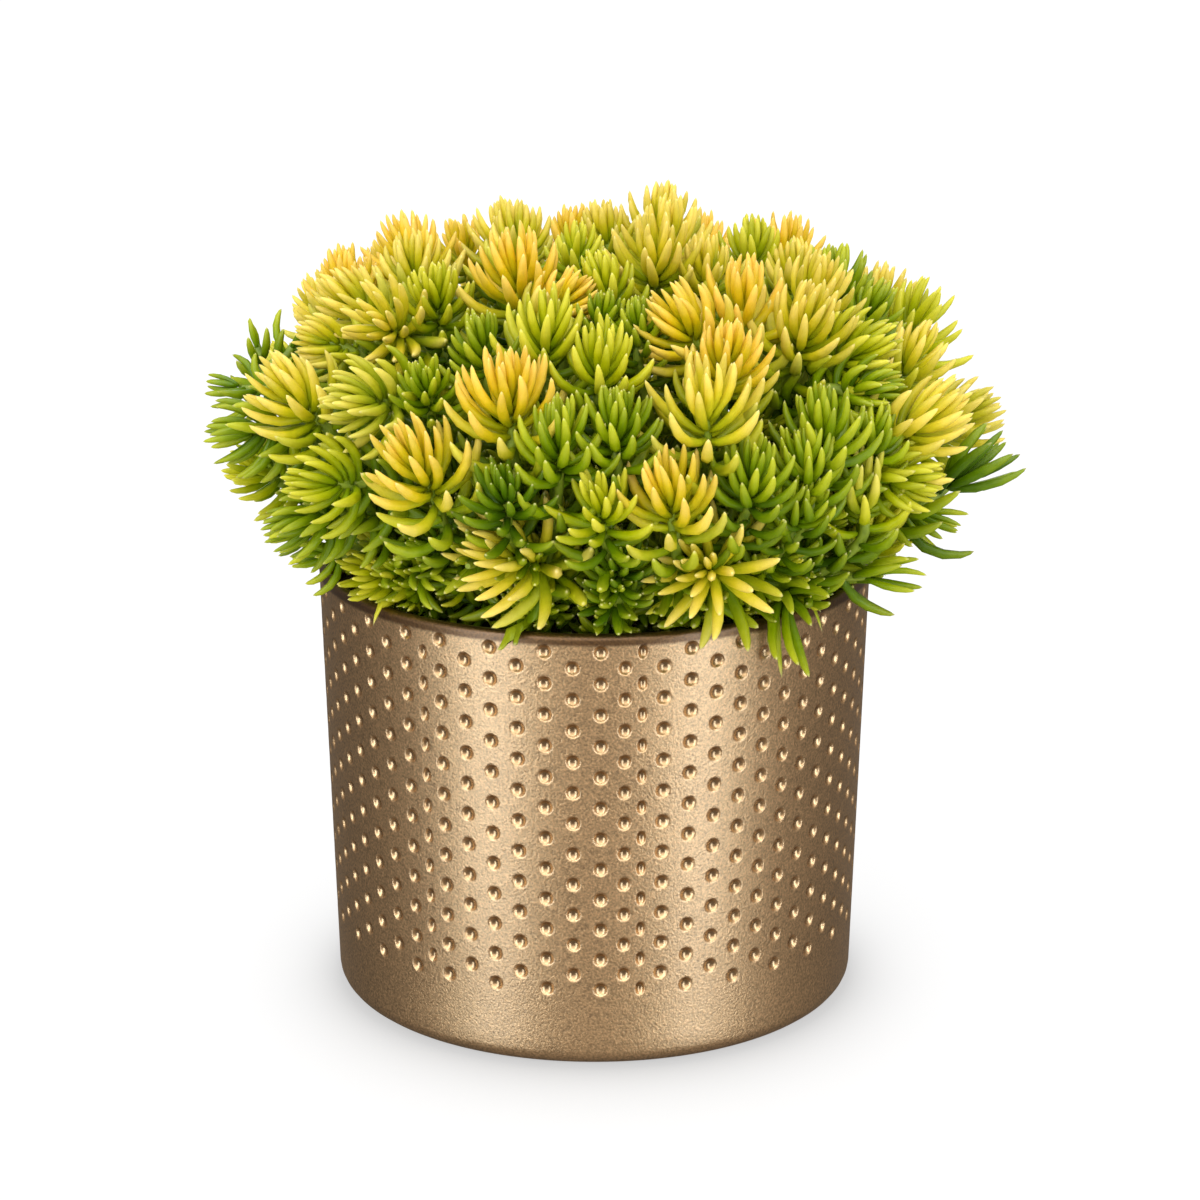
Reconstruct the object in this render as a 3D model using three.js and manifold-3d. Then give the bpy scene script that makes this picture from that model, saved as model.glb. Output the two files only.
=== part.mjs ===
// A potted sedum: a dimpled metal pot, the soil in it, and forked leafy shoots that make a dense dome.
// Millimetres, +Z up. The origin is the middle of the pot's underside, and the viewer stands on the -Y side.
import * as THREE from "three";
import Module from "manifold-3d";

const { Vector3 } = THREE;
const wasm = await Module();
wasm.setup();

const degree = Math.PI / 180;
const goldenAngle = Math.PI * (3 - Math.sqrt(5));
const upward = new Vector3(0, 0, 1);

// Pot
const potHeight = 101.6;
const rimRadius = 63.5;
const baseRadius = 60.3;
const wallThickness = 2.2;
const floorThickness = 3;
const footCorner = 4;
const lipRounding = 1.6;
const innerLipRounding = 0.3;

// Dimples, larger than life: staggered columns of shallow dents in the wall
const dimpleColumns = 40;
const dimpleDepth = 1.1;
const dimpleRows = 7;
const firstDimpleHeight = 17;
const lastDimpleHeight = 97;

// Soil
const seatGap = 0.3;
const soilDepthBelowRim = 9;
const soilSides = 24;

// The dome that the heads' hearts lie on, measured from the middle of the rim
const domeRise = 32;
const heartSpread = 78;
const heartHeight = 36;
const heartSpacing = 9;
const lowestHeart = potHeight + 4.5;

// Shoots
const shootCount = 58;
const rootReach = 47;
const rootSpacing = 7;
const stemRadius = 1.35;
const branchRadius = 1.15;
const rootDepth = 9;
const collarHeight = 1.5;
const neckLength = 8;
const stemSpacing = 3.7;

// Leaves, and the room they keep: between shoots, within a shoot, and from where on along their lower half
const leafRadius = 1.15;
const tipShare = 0.8;
const bendShare = 0.5;
const clearance = 0.45;
const kinClearance = 0.12;
const freeShare = 0.45;
const leastOutward = 0.45;

// Where the viewer of the list below stands
const viewerDistance = 826;
const viewerTilt = 15.9 * degree;

const toneColours = {
  orange: 0xd9a51c,
  amber: 0xd4af2c,
  yellow: 0xc9b734,
  cream: 0xc6c04e,
  lime: 0xa3b52a,
  pale: 0xa8b85a,
  green: 0x7f9f1f,
  dark: 0x4f7f1a,
};

// The heads on the viewer's side, placed by eye. Each row says where the heart shows, across and up from the
// middle of the rim, how far the head leans to the right of upright, how far it faces the viewer, its size
// beside a head of common size, and its tone.
const seenHeads = [
  [-41, 61, -3, 0, 1.0, "yellow"],
  [-36, 55, -8, 30, 0.95, "lime"],
  [-52, 55, -48, 5, 1.05, "yellow"],
  [-45, 51, -65, 55, 1.15, "cream"],
  [-58, 48, -72, 0, 0.85, "yellow"],
  [-77, 45, -15, 0, 0.65, "green"],
  [-71, 46, 32, -5, 0.65, "green"],
  [-65, 32, -45, 20, 1.25, "yellow"],
  [-77, 38, -82, -10, 0.8, "green"],
  [-73, 29, -98, -5, 1.0, "green"],
  [-48, 35, -88, 35, 1.15, "pale"],
  [-57, 16, -85, 25, 1.1, "lime"],
  [-62, 9, -110, 5, 1.05, "green"],
  [-60, 0, -95, 5, 0.65, "green"],
  [-38, 15, -30, 35, 1.3, "amber"],
  [-45, -4, -85, 45, 1.15, "lime"],
  [-19, 29, -5, 28, 1.35, "orange"],
  [-8, 21, 0, 28, 1.1, "green"],
  [-20, 10, -5, 45, 0.95, "dark"],
  [5, 25, 0, 25, 1.0, "green"],
  [-17, 58, -8, 20, 1.3, "orange"],
  [-10, 55, 42, 15, 0.9, "orange"],
  [-11, 45, 0, 22, 1.2, "lime"],
  [-17, 68, 0, 2, 1.0, "yellow"],
  [-4, 66, 0, 5, 0.8, "lime"],
  [1, 39, 3, 25, 1.1, "lime"],
  [15, 72, 0, 8, 1.1, "yellow"],
  [14, 62, -3, 35, 1.25, "yellow"],
  [3, 58, -12, 15, 0.9, "lime"],
  [3, 70, -5, 5, 0.9, "yellow"],
  [36, 65, 0, 5, 1.0, "lime"],
  [46, 61, 3, 8, 0.9, "yellow"],
  [55, 58, 10, 3, 1.05, "green"],
  [62, 53, 30, 0, 0.85, "green"],
  [34, 51, 0, 22, 1.3, "orange"],
  [26, 61, 3, 15, 0.95, "yellow"],
  [47, 46, 15, 35, 1.3, "yellow"],
  [56, 43, 65, 15, 1.15, "lime"],
  [71, 41, 30, 0, 1.05, "yellow"],
  [70, 27, 55, 20, 1.35, "cream"],
  [79, 14, 55, -5, 1.15, "dark"],
  [72, 11, 108, 5, 0.9, "green"],
  [67, 18, 92, 5, 0.95, "lime"],
  [24, 48, -42, 25, 1.2, "amber"],
  [30, 39, 8, 22, 1.1, "orange"],
  [26, 27, -2, 35, 1.4, "cream"],
  [36, 13, 3, 30, 1.05, "green"],
  [53, 24, 0, 20, 1.1, "green"],
  [49, 16, -3, 15, 0.95, "green"],
  [46, 7, 18, 30, 0.9, "green"],
  [62, 11, 5, 15, 1.1, "pale"],
  [61, 3, 30, 35, 1.0, "lime"],
  [59, -5, 92, 20, 1.0, "green"],
  [49, 0, 20, 50, 0.8, "dark"],
  [29, -4, -40, 80, 1.3, "cream"],
  [43, -12, 160, 50, 0.95, "green"],
  [18, 8, -8, 32, 1.25, "amber"],
  [2, 7, -12, 45, 1.0, "lime"],
  [-9, -8, -60, 60, 1.45, "cream"],
  [8, -12, 0, 82, 1.0, "dark"],
  [6, -4, 0, 45, 0.75, "dark"],
  [2, 52, 5, 20, 0.65, "green"],
  [10, 50, 0, 20, 0.7, "green"],
  [-25, 44, -10, 25, 0.9, "green"],
  [-38, 35, 0, 40, 0.8, "green"],
  [-35, -5, 100, 40, 0.8, "green"],
  [64, 24, 5, 10, 0.8, "green"],
  [59, 38, 88, 12, 0.85, "green"],
];

// A repeatable draw between 0 and 1
let drawState = 4711;
function draw() {
  drawState = (drawState * 16807) % 2147483647;
  return drawState / 2147483647;
}

const mix = (from, to, share) => from + (to - from) * share;
const between = (from, to, share) => from.clone().lerp(to, share);

// The pot's outer radius at a height: the wall narrows evenly towards the foot.
const wallRadius = (height) => mix(baseRadius, rimRadius, height / potHeight);

// A surface gathered point by point, with its faces turned outwards
class Skin {
  points = [];
  faces = [];

  point(place) {
    return this.points.push(place.clone()) - 1;
  }

  // A ring of evenly spaced points round a centre, square to the direction forward
  ring(centre, forward, side, radius, count, turn = 0) {
    const across = side.clone().addScaledVector(forward, -side.dot(forward)).normalize();
    const other = forward.clone().cross(across);
    const indices = [];
    for (let i = 0; i < count; i++) {
      const angle = 2 * Math.PI * (turn + i / count);
      const place = centre.clone().addScaledVector(across, radius * Math.cos(angle));
      indices.push(this.point(place.addScaledVector(other, radius * Math.sin(angle))));
    }
    return { indices, turn };
  }

  pole(place) {
    return { indices: [this.point(place)], turn: 0 };
  }

  // A band between two rings of any counts, of which either may be a single point
  bridge(lower, upper) {
    const lowerCount = lower.indices.length;
    const upperCount = upper.indices.length;
    const lowerSteps = lowerCount > 1 ? lowerCount : 0;
    const upperSteps = upperCount > 1 ? upperCount : 0;
    const shift = Math.round((lower.turn - upper.turn) * upperCount);
    const lead = upper.turn - lower.turn + shift / upperCount;
    let i = 0;
    let j = 0;
    while (i < lowerSteps || j < upperSteps) {
      const nextLower = i < lowerSteps ? (i + 1) / lowerCount : Infinity;
      const nextUpper = j < upperSteps ? lead + (j + 1) / upperCount : Infinity;
      const a = lower.indices[i % lowerCount];
      const b = upper.indices.at((j + shift) % upperCount);
      if (nextLower <= nextUpper) {
        this.faces.push([a, lower.indices[(i + 1) % lowerCount], b]);
        i++;
      } else {
        this.faces.push([a, upper.indices.at((j + 1 + shift) % upperCount), b]);
        j++;
      }
    }
  }

  // The closed surface through a stack of rings and poles
  stack(rings) {
    for (let i = 1; i < rings.length; i++) {
      this.bridge(rings[i - 1], rings[i]);
    }
    return this;
  }

  geometry() {
    const positions = new Float32Array(this.points.flatMap((place) => place.toArray()));
    const geometry = new THREE.BufferGeometry();
    geometry.setAttribute("position", new THREE.BufferAttribute(positions, 3));
    geometry.setIndex(this.faces.flat());
    return geometry;
  }
}

function solidOf(geometry) {
  const mesh = new wasm.Mesh({
    numProp: 3,
    vertProperties: geometry.getAttribute("position").array,
    triVerts: new Uint32Array(geometry.getIndex().array),
  });
  return new wasm.Manifold(mesh);
}

function geometryOf(solid) {
  const mesh = solid.getMesh();
  const geometry = new THREE.BufferGeometry();
  geometry.setAttribute("position", new THREE.BufferAttribute(mesh.vertProperties, 3));
  geometry.setIndex(new THREE.BufferAttribute(mesh.triVerts, 1));
  geometry.computeVertexNormals();
  return geometry;
}

function namedMesh(name, geometry, color, roughness, metalness) {
  const material = new THREE.MeshStandardMaterial({ color, roughness, metalness, flatShading: true });
  const mesh = new THREE.Mesh(geometry, material);
  mesh.name = name;
  return mesh;
}

// The pot: rings from the middle of the underside, up the outside, over the lip and down to the floor
function potGeometry() {
  const skin = new Skin();
  const sideways = new Vector3(1, 0, 0);
  const level = (radius, height, count, turn = 0) =>
    skin.ring(new Vector3(0, 0, height), upward, sideways, radius, count, turn);
  const rings = [skin.pole(new Vector3(0, 0, 0)), level(baseRadius - footCorner, 0, 24)];
  for (const angle of [30, 60, 90]) {
    const height = footCorner * (1 - Math.cos(angle * degree));
    const inset = footCorner * (1 - Math.sin(angle * degree));
    rings.push(level(wallRadius(height) - inset, height, 36));
  }
  rings.push(...dimpleRings(level, skin));
  for (const angle of [0, 50, 90]) {
    const height = potHeight - lipRounding * (1 - Math.sin(angle * degree));
    const inset = lipRounding * (1 - Math.cos(angle * degree));
    rings.push(level(wallRadius(height) - inset, height, 48));
  }
  const innerLip = rimRadius - wallThickness;
  rings.push(level(innerLip, potHeight - innerLipRounding, 36));
  rings.push(level(wallRadius(floorThickness) - wallThickness, floorThickness, 24));
  rings.push(skin.pole(new Vector3(0, 0, floorThickness)));
  return skin.stack(rings).geometry();
}

// Rings of wall points, each turned half a step from the one below. Every third point of a ring is the middle
// of a dimple, so the dimples stand in staggered columns with plain wall all round them.
function dimpleRings(level, skin) {
  const pointsRound = (dimpleColumns * 3) / 2;
  const lastRow = dimpleRows * 2;
  const spacing = (lastDimpleHeight - firstDimpleHeight) / lastRow;
  const plainBelow = 0.9;
  const plainAbove = 0.4;
  const rings = [];
  for (let row = -1; row <= lastRow + 1; row++) {
    const height = firstDimpleHeight + THREE.MathUtils.clamp(row, -plainBelow, lastRow + plainAbove) * spacing;
    const ring = level(wallRadius(height), height, pointsRound, row / (2 * pointsRound));
    rings.push(ring);
    if (row < 0 || row > lastRow) continue;
    const shrink = 1 - dimpleDepth / wallRadius(height);
    ring.indices.forEach((index, i) => {
      const place = skin.points[index];
      const isMiddle = (2 * i + row + (row % 2) * 3) % 6 === 0;
      if (isMiddle) place.set(place.x * shrink, place.y * shrink, place.z);
    });
  }
  return rings;
}

// The places of the hearts on the viewer's side, where the line of sight meets the dome
function placeSeenHeads(domeCentre) {
  const rimCentre = new Vector3(0, 0, potHeight);
  const toViewer = new Vector3(0, -Math.cos(viewerTilt), Math.sin(viewerTilt));
  const pictureUp = new Vector3(0, Math.sin(viewerTilt), Math.cos(viewerTilt));
  const eye = rimCentre.clone().addScaledVector(toViewer, viewerDistance);
  const shrink = new Vector3(1 / heartSpread, 1 / heartSpread, 1 / heartHeight);
  return seenHeads.map(([across, up, lean, facing, size, tone]) => {
    const aim = rimCentre.clone().addScaledVector(pictureUp, up);
    aim.x += across;
    const sight = aim.sub(eye).normalize();
    const start = eye.clone().sub(domeCentre).multiply(shrink);
    const step = sight.clone().multiply(shrink);
    const nearest = -start.dot(step) / step.lengthSq();
    const room = nearest ** 2 - (start.lengthSq() - 1) / step.lengthSq();
    const heart = eye.clone().addScaledVector(sight, nearest - Math.sqrt(Math.max(room, 0)));
    const axis = pictureUp.clone().multiplyScalar(Math.cos(lean * degree));
    axis.x += Math.sin(lean * degree);
    axis.multiplyScalar(Math.cos(facing * degree));
    axis.addScaledVector(toViewer, Math.sin(facing * degree));
    return { heart, axis: axis.normalize(), size, tone };
  });
}

// The rest of the dome: each next head goes to the place that is furthest from all the others.
function fillDome(heads, domeCentre) {
  const places = 600;
  const lowest = -0.72;
  const candidates = [];
  for (let i = 0; i < places; i++) {
    const level = mix(1, lowest, (i + 0.5) / places);
    const spread = heartSpread * Math.sqrt(1 - level ** 2);
    const angle = i * goldenAngle;
    const place = new Vector3(spread * Math.cos(angle), spread * Math.sin(angle), heartHeight * level);
    const room = Math.min(...heads.map((head) => head.heart.distanceTo(place.clone().add(domeCentre))));
    candidates.push({ place: place.add(domeCentre), level, room });
  }
  while (heads.length < 2 * shootCount) {
    const widest = candidates.reduce((best, next) => (next.room > best.room ? next : best));
    heads.push(dressPlace(widest, domeCentre));
    for (const candidate of candidates) {
      candidate.room = Math.min(candidate.room, candidate.place.distanceTo(widest.place));
    }
  }
}

// A head that grows outwards and somewhat up from its place, greener and smaller low down
function dressPlace({ place, level }, domeCentre) {
  const upturn = 0.8;
  const waywardness = 0.35;
  const lowLevel = -0.3;
  const flat = new Vector3(heartSpread, heartSpread, heartHeight);
  const axis = place.clone().sub(domeCentre).divide(flat).divide(flat).normalize();
  axis.addScaledVector(upward, upturn).normalize();
  axis.x += waywardness * (draw() - 0.5);
  axis.y += waywardness * (draw() - 0.5);
  const size = mix(0.9, 1.3, draw()) - (level < lowLevel ? 0.1 : 0);
  const sunny = draw() + 0.3 * level;
  const tones = ["dark", "green", "lime", "pale", "yellow", "cream", "amber", "orange"];
  const steps = Math.floor(mix(1, tones.length, Math.min(Math.max(sunny, 0), 0.99)));
  return { heart: place.clone(), axis: axis.normalize(), size, tone: tones[steps] };
}

// Two by two, neighbouring heads share a shoot. The most lonely head chooses first.
function pairHeads(heads) {
  const free = new Set(heads);
  const pairs = [];
  while (free.size) {
    let choice = null;
    for (const head of free) {
      let mate = null;
      for (const other of free) {
        if (other === head) continue;
        const gap = head.neck.distanceTo(other.neck);
        if (!mate || gap < mate.gap) mate = { other, gap };
      }
      if (!choice || mate.gap > choice.gap) choice = { pair: [head, mate.other], gap: mate.gap };
    }
    choice.pair.forEach((head) => free.delete(head));
    pairs.push(choice.pair);
  }
  const swapRounds = 4;
  for (let round = 0; round < swapRounds; round++) {
    pairs.forEach((pair, i) => pairs.slice(0, i).forEach((other) => swapIfNearer(pair, other)));
  }
  return pairs;
}

// Two shoots swap a head each where that brings their heads nearer together.
function swapIfNearer(pair, other) {
  const span = (a, b) => a.neck.distanceToSquared(b.neck);
  for (const k of [0, 1]) {
    const now = span(...pair) + span(...other);
    const swapped = span(pair[0], other[k]) + span(pair[1], other[1 - k]);
    if (swapped < now) [pair[1], other[k]] = [other[k], pair[1]];
  }
}

// Where each shoot leaves the soil: the dome's places drawn together on the soil, then spread apart
function placeRoots(pairs, soilTop) {
  const middle = new Vector3(0, 0, potHeight + 4);
  const spreadRounds = 40;
  const roots = pairs.map(([first, second]) => {
    const reach = between(first.neck, second.neck, 0.5).sub(middle);
    const slope = Math.min(reach.angleTo(upward), Math.PI / 2);
    const radius = (rootReach * Math.sin(slope / 2)) / Math.sin(Math.PI / 4);
    const flat = new Vector3(reach.x, reach.y, 0).normalize();
    return flat.multiplyScalar(radius).setZ(soilTop);
  });
  for (let round = 0; round < spreadRounds; round++) {
    for (const root of roots) {
      for (const other of roots) {
        const gap = root.distanceTo(other);
        if (other === root || gap >= rootSpacing) continue;
        const push = other.clone().sub(root).multiplyScalar((rootSpacing - gap) / (2 * gap));
        other.add(push);
        root.sub(push);
      }
    }
  }
  return roots;
}

// The smallest distance between two straight stretches
function stretchGap(a, b) {
  const u = a.to.clone().sub(a.from);
  const v = b.to.clone().sub(b.from);
  const w = a.from.clone().sub(b.from);
  const uu = u.dot(u);
  const uv = u.dot(v);
  const vv = v.dot(v);
  const uw = u.dot(w);
  const vw = v.dot(w);
  const flatness = uu * vv - uv * uv;
  const clamp = THREE.MathUtils.clamp;
  let s = flatness > 1e-9 ? clamp((uv * vw - vv * uw) / flatness, 0, 1) : 0;
  const t = clamp((uv * s + vw) / vv, 0, 1);
  s = clamp((uv * t - uw) / uu, 0, 1);
  return w.addScaledVector(u, s).addScaledVector(v, -t).length();
}

// Every placed stretch. The first part of a leaf, up to where it stands free, may touch its own head.
const stretches = [];
function stretch(from, to, radius, shoot, head, part, freeFrom = from) {
  const middle = between(from, to, 0.5);
  const reach = from.distanceTo(to) / 2 + radius;
  return { from, to, radius, shoot, head, part, middle, reach, free: { from: freeFrom, to } };
}

// True where a stretch keeps clear of all that is placed, and of the pot and the soil
function isClear(next) {
  for (const other of stretches) {
    const near = next.reach + other.reach + clearance;
    if (other.middle.distanceToSquared(next.middle) > near * near) continue;
    const isOwn = other.head === next.head;
    if (isOwn && other.part === "core") continue;
    const needed = next.radius + other.radius + (other.shoot === next.shoot ? kinClearance : clearance);
    const gap = isOwn ? stretchGap(next.free, other.free) : stretchGap(next, other);
    if (gap < needed) return false;
  }
  for (const share of [0, 0.25, 0.5, 0.75, 1]) {
    const spot = between(next.from, next.to, share);
    const across = Math.hypot(spot.x, spot.y);
    const room = next.radius + clearance;
    if (spot.z > potHeight + room) continue;
    const inside = across < wallRadius(spot.z) - wallThickness - room && spot.z > soilTop + room;
    const outside = across > wallRadius(spot.z) + room;
    if (!inside && !outside) return false;
  }
  return true;
}

// The layers of leaves on a head, from the lowest: how far the leaves start and end off the head's axis, how
// long they are, and the height and radius of the core's ring below them. The crown's leaves are straight.
const headKinds = [
  {
    smallestSize: 1.22,
    layers: [
      { start: 90, end: 42, length: 11.5, ringHeight: 0, ringRadius: 1.3 },
      { start: 66, end: 26, length: 11.5, ringHeight: 2, ringRadius: 1.9 },
      { start: 42, end: 14, length: 10, ringHeight: 4, ringRadius: 1.9 },
      { start: 20, end: 20, length: 7.5, ringHeight: 5.8, ringRadius: 1.3 },
    ],
  },
  {
    smallestSize: 1.02,
    layers: [
      { start: 86, end: 36, length: 11.5, ringHeight: 0, ringRadius: 1.4 },
      { start: 54, end: 20, length: 10.5, ringHeight: 2.4, ringRadius: 1.9 },
      { start: 22, end: 22, length: 8, ringHeight: 4.8, ringRadius: 1.4 },
    ],
  },
  {
    smallestSize: 0,
    layers: [
      { start: 76, end: 30, length: 11.5, ringHeight: 0, ringRadius: 1.5 },
      { start: 24, end: 24, length: 9.5, ringHeight: 3, ringRadius: 1.6 },
    ],
  },
];
const crownRise = 1.3;
const coreTwist = 0.21;
const coreReach = 5;
const coreGirth = 2;
const layersOf = (head) => headKinds.find((kind) => head.size >= kind.smallestSize).layers;

// A leaf's middle line: out from the core, then turned up towards the head's axis
function leafLine(head, layer, root, around, lift, turn, shrink) {
  const out = around.clone().applyAxisAngle(head.axis, turn);
  const towards = (angle) => {
    const lean = Math.max(angle - lift, 4) * degree;
    return head.axis.clone().multiplyScalar(Math.cos(lean)).addScaledVector(out, Math.sin(lean));
  };
  const length = layer.length * head.size * shrink;
  const bend = root.clone().addScaledVector(towards(layer.start), length * bendShare);
  const tip = bend.clone().addScaledVector(towards(layer.end), length * (1 - bendShare));
  return { bend, tip };
}

// Tries a leaf as it would grow, then turned aside, lifted or shortened until it clears its neighbours
function findLeafLine(shoot, head, layer, root, around, outward, width) {
  for (const shrink of [1, 0.86, 0.72, 0.6]) {
    for (const lift of [0, 13, 26]) {
      for (const turn of [0, 10, -10, 20, -20]) {
        const line = leafLine(head, layer, root, around, lift, turn * degree, shrink);
        if (line.bend.clone().sub(root).normalize().dot(outward) < leastOutward) continue;
        const freeFrom = between(root, line.bend, freeShare);
        const lower = stretch(root, line.bend, width, shoot, head, "leaf", freeFrom);
        const upper = stretch(line.bend, line.tip, width * tipShare, shoot, head, "leaf");
        if (isClear(lower) && isClear(upper)) {
          stretches.push(lower, upper);
          return line;
        }
      }
    }
  }
  return null;
}

// Three-sided rings of a stem and of the core that its head grows on
function growHead(skin, path, radii, head, side) {
  let lower = null;
  const across = side.clone();
  path.slice(0, -1).forEach((place, i) => {
    const behind = path[Math.max(i - 1, 0)];
    const forward = path[i + 1].clone().sub(behind).normalize();
    across.addScaledVector(forward, -across.dot(forward)).normalize();
    const ring = skin.ring(place, forward, across, radii[i], 3);
    skin.bridge(lower ?? skin.pole(place), ring);
    lower = ring;
  });
  head.sites = [];
  layersOf(head).forEach((layer, i) => {
    const centre = head.heart.clone().addScaledVector(head.axis, layer.ringHeight * head.size);
    const ring = skin.ring(centre, head.axis, across, layer.ringRadius * head.size, 3, i * coreTwist);
    const first = skin.faces.length;
    skin.bridge(lower, ring);
    if (i > 0) head.sites.push({ layer: layersOf(head)[i - 1], first, last: skin.faces.length });
    lower = ring;
  });
  const lastLayer = layersOf(head).at(-1);
  const crown = head.heart.clone().addScaledVector(head.axis, (lastLayer.ringHeight + crownRise) * head.size);
  const first = skin.faces.length;
  skin.bridge(lower, skin.pole(crown));
  head.sites.push({ layer: lastLayer, first, last: skin.faces.length });
  head.skin = skin;
}

// Draws a three-sided leaf out of one face of the core
function growLeaf(shoot, head, layer, faceIndex) {
  const { skin } = head;
  const face = skin.faces[faceIndex];
  const corners = face.map((index) => skin.points[index]);
  const root = corners[0].clone().add(corners[1]).add(corners[2]).divideScalar(3);
  const around = root.clone().sub(head.heart);
  around.addScaledVector(head.axis, -around.dot(head.axis)).normalize();
  const width = leafRadius * Math.min(head.size, 1.15);
  const outward = new THREE.Triangle(...corners).getNormal(new Vector3());
  const line = findLeafLine(shoot, head, layer, root, around, outward, width);
  if (!line) return;
  const [a, b, c] = face;
  if (layer.start === layer.end) {
    const tip = skin.point(line.tip);
    skin.faces[faceIndex] = [a, b, tip];
    skin.faces.push([b, c, tip], [c, a, tip]);
    return;
  }
  const forward = line.tip.clone().sub(root).normalize();
  const across = new Vector3();
  corners.forEach((corner, i) => {
    const arm = corner.clone().sub(root).projectOnPlane(forward);
    across.add(arm.applyAxisAngle(forward, (-2 * Math.PI * i) / 3));
  });
  const bend = skin.ring(line.bend, forward, across, width, 3);
  const [p, q, r] = bend.indices;
  skin.faces[faceIndex] = [a, b, p];
  skin.faces.push([b, q, p], [b, c, q], [c, r, q], [c, a, r], [a, p, r]);
  skin.bridge(bend, skin.pole(line.tip));
}

// The middle lines of a shoot's stems: the main stem ends in the first head, the branch in the second.
function stemLines({ root, fork, pair: [first, second] }) {
  const foot = root.clone().setZ(root.z - rootDepth);
  const collar = root.clone().setZ(root.z + collarHeight);
  const main = [foot, collar, fork, first.neck, first.heart];
  const start = between(main[2], main[3], 0.1);
  const branch = new THREE.QuadraticBezierCurve3(start, second.neck, second.heart).getPoints(3);
  return [main, branch];
}

// Bends stems that come too near to each other or to the pot's lip, by their forks and necks
function bendStemsClear(plans) {
  const bendRounds = 60;
  const bendStep = 0.6;
  const shift = (plan, spot, push) => {
    const controls = [plan.fork, plan.pair[0].neck, plan.pair[1].neck];
    controls.sort((a, b) => a.distanceTo(spot) - b.distanceTo(spot));
    controls[0].add(push);
  };
  for (let round = 0; round < bendRounds; round++) {
    const lines = plans.flatMap((plan, shoot) =>
      stemLines(plan).flatMap((line) => line.slice(2).map((to, i) => stretch(line[i + 1], to, stemRadius, shoot))),
    );
    lines.forEach((a, i) => {
      for (const b of lines.slice(i + 1)) {
        if (a.shoot === b.shoot || a.middle.distanceTo(b.middle) > a.reach + b.reach + stemSpacing) continue;
        const gap = stretchGap(a, b);
        if (gap >= stemSpacing) continue;
        const push = b.middle.clone().sub(a.middle).setLength((stemSpacing - gap) * bendStep);
        shift(plans[b.shoot], b.middle, push);
        shift(plans[a.shoot], a.middle, push.negate());
      }
      const room = stemRadius + clearance;
      const overWall = Math.hypot(a.to.x, a.to.y) > rimRadius - wallThickness - room;
      if (overWall && a.to.z < potHeight + room) shift(plans[a.shoot], a.to, upward);
    });
  }
}

function growStems(plan, shoot) {
  const side = new Vector3(1, 0, 0);
  const [main, branch] = stemLines(plan);
  const mainRadii = main.map((place, i) => mix(stemRadius, branchRadius, i / (main.length - 1)));
  const branchRadii = branch.map((place, i) => (i === 0 ? branchRadius / 2 : branchRadius));
  growHead(new Skin(), main, mainRadii, plan.pair[0], side);
  growHead(new Skin(), branch, branchRadii, plan.pair[1], side);
  [main, branch].forEach((path, i) => {
    const head = plan.pair[i];
    for (let step = 1; step < path.length; step++) {
      stretches.push(stretch(path[step - 1], path[step], stemRadius, shoot, head, "stem"));
    }
    const top = head.heart.clone().addScaledVector(head.axis, coreReach * head.size);
    stretches.push(stretch(head.heart, top, coreGirth * head.size, shoot, head, "core"));
  });
}

// Moves hearts that stand too near to each other apart, and keeps them over the pot's lip
function spreadHearts(heads) {
  const spreadRounds = 20;
  for (let round = 0; round < spreadRounds; round++) {
    for (const head of heads) {
      for (const other of heads) {
        const gap = head.heart.distanceTo(other.heart);
        if (other === head || gap >= heartSpacing) continue;
        const push = other.heart.clone().sub(head.heart).multiplyScalar((heartSpacing - gap) / (2 * gap));
        other.heart.add(push);
        head.heart.sub(push);
      }
      head.heart.z = Math.max(head.heart.z, lowestHeart);
    }
  }
}

const soilTop = potHeight - soilDepthBelowRim;
const domeCentre = new Vector3(0, 0, potHeight + domeRise);
const heads = placeSeenHeads(domeCentre);
fillDome(heads, domeCentre);
spreadHearts(heads);
for (const head of heads) {
  head.neck = head.heart.clone().addScaledVector(head.axis, -neckLength);
}
const pairs = pairHeads(heads);
const roots = placeRoots(pairs, soilTop);
const plans = pairs.map((pair, shoot) => {
  const crowd = between(pair[0].neck, pair[1].neck, 0.5);
  return { pair, root: roots[shoot], fork: between(roots[shoot], crowd, 0.55) };
});
bendStemsClear(plans);
plans.forEach(growStems);

// Leaves go on layer by layer over the whole dome, the crowns first, so that each head gets its share.
for (const fromTop of [1, 2, 3, 4]) {
  pairs.forEach((pair, shoot) => {
    for (const head of pair) {
      const site = head.sites.at(-fromTop);
      if (!site) continue;
      for (let index = site.first; index < site.last; index++) {
        growLeaf(shoot, head, site.layer, index);
      }
    }
  });
}

// The plain three-sided hole that a stem stands in, with a little room all round and below
function holeSolid({ root }) {
  const skin = new Skin();
  const side = new Vector3(1, 0, 0);
  const bottom = root.clone().setZ(soilTop - rootDepth - seatGap);
  const top = root.clone().setZ(soilTop + 1);
  const sections = [bottom, top].map((place) => skin.ring(place, upward, side, stemRadius + 2 * seatGap, 3));
  return solidOf(skin.stack([skin.pole(bottom), ...sections, skin.pole(top)]).geometry());
}

// Soil that fills the pot, with a hole for each stem
function soilSolid() {
  const skin = new Skin();
  const side = new Vector3(1, 0, 0);
  const ends = [floorThickness + seatGap, soilTop].map((height) => new Vector3(0, 0, height));
  const sections = ends.map((place) => {
    const radius = wallRadius(place.z) - wallThickness - 2 * seatGap;
    return skin.ring(place, upward, side, radius, soilSides);
  });
  const block = solidOf(skin.stack([skin.pole(ends[0]), ...sections, skin.pole(ends[1])]).geometry());
  return block.subtract(wasm.Manifold.union(plans.map(holeSolid)));
}

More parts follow.
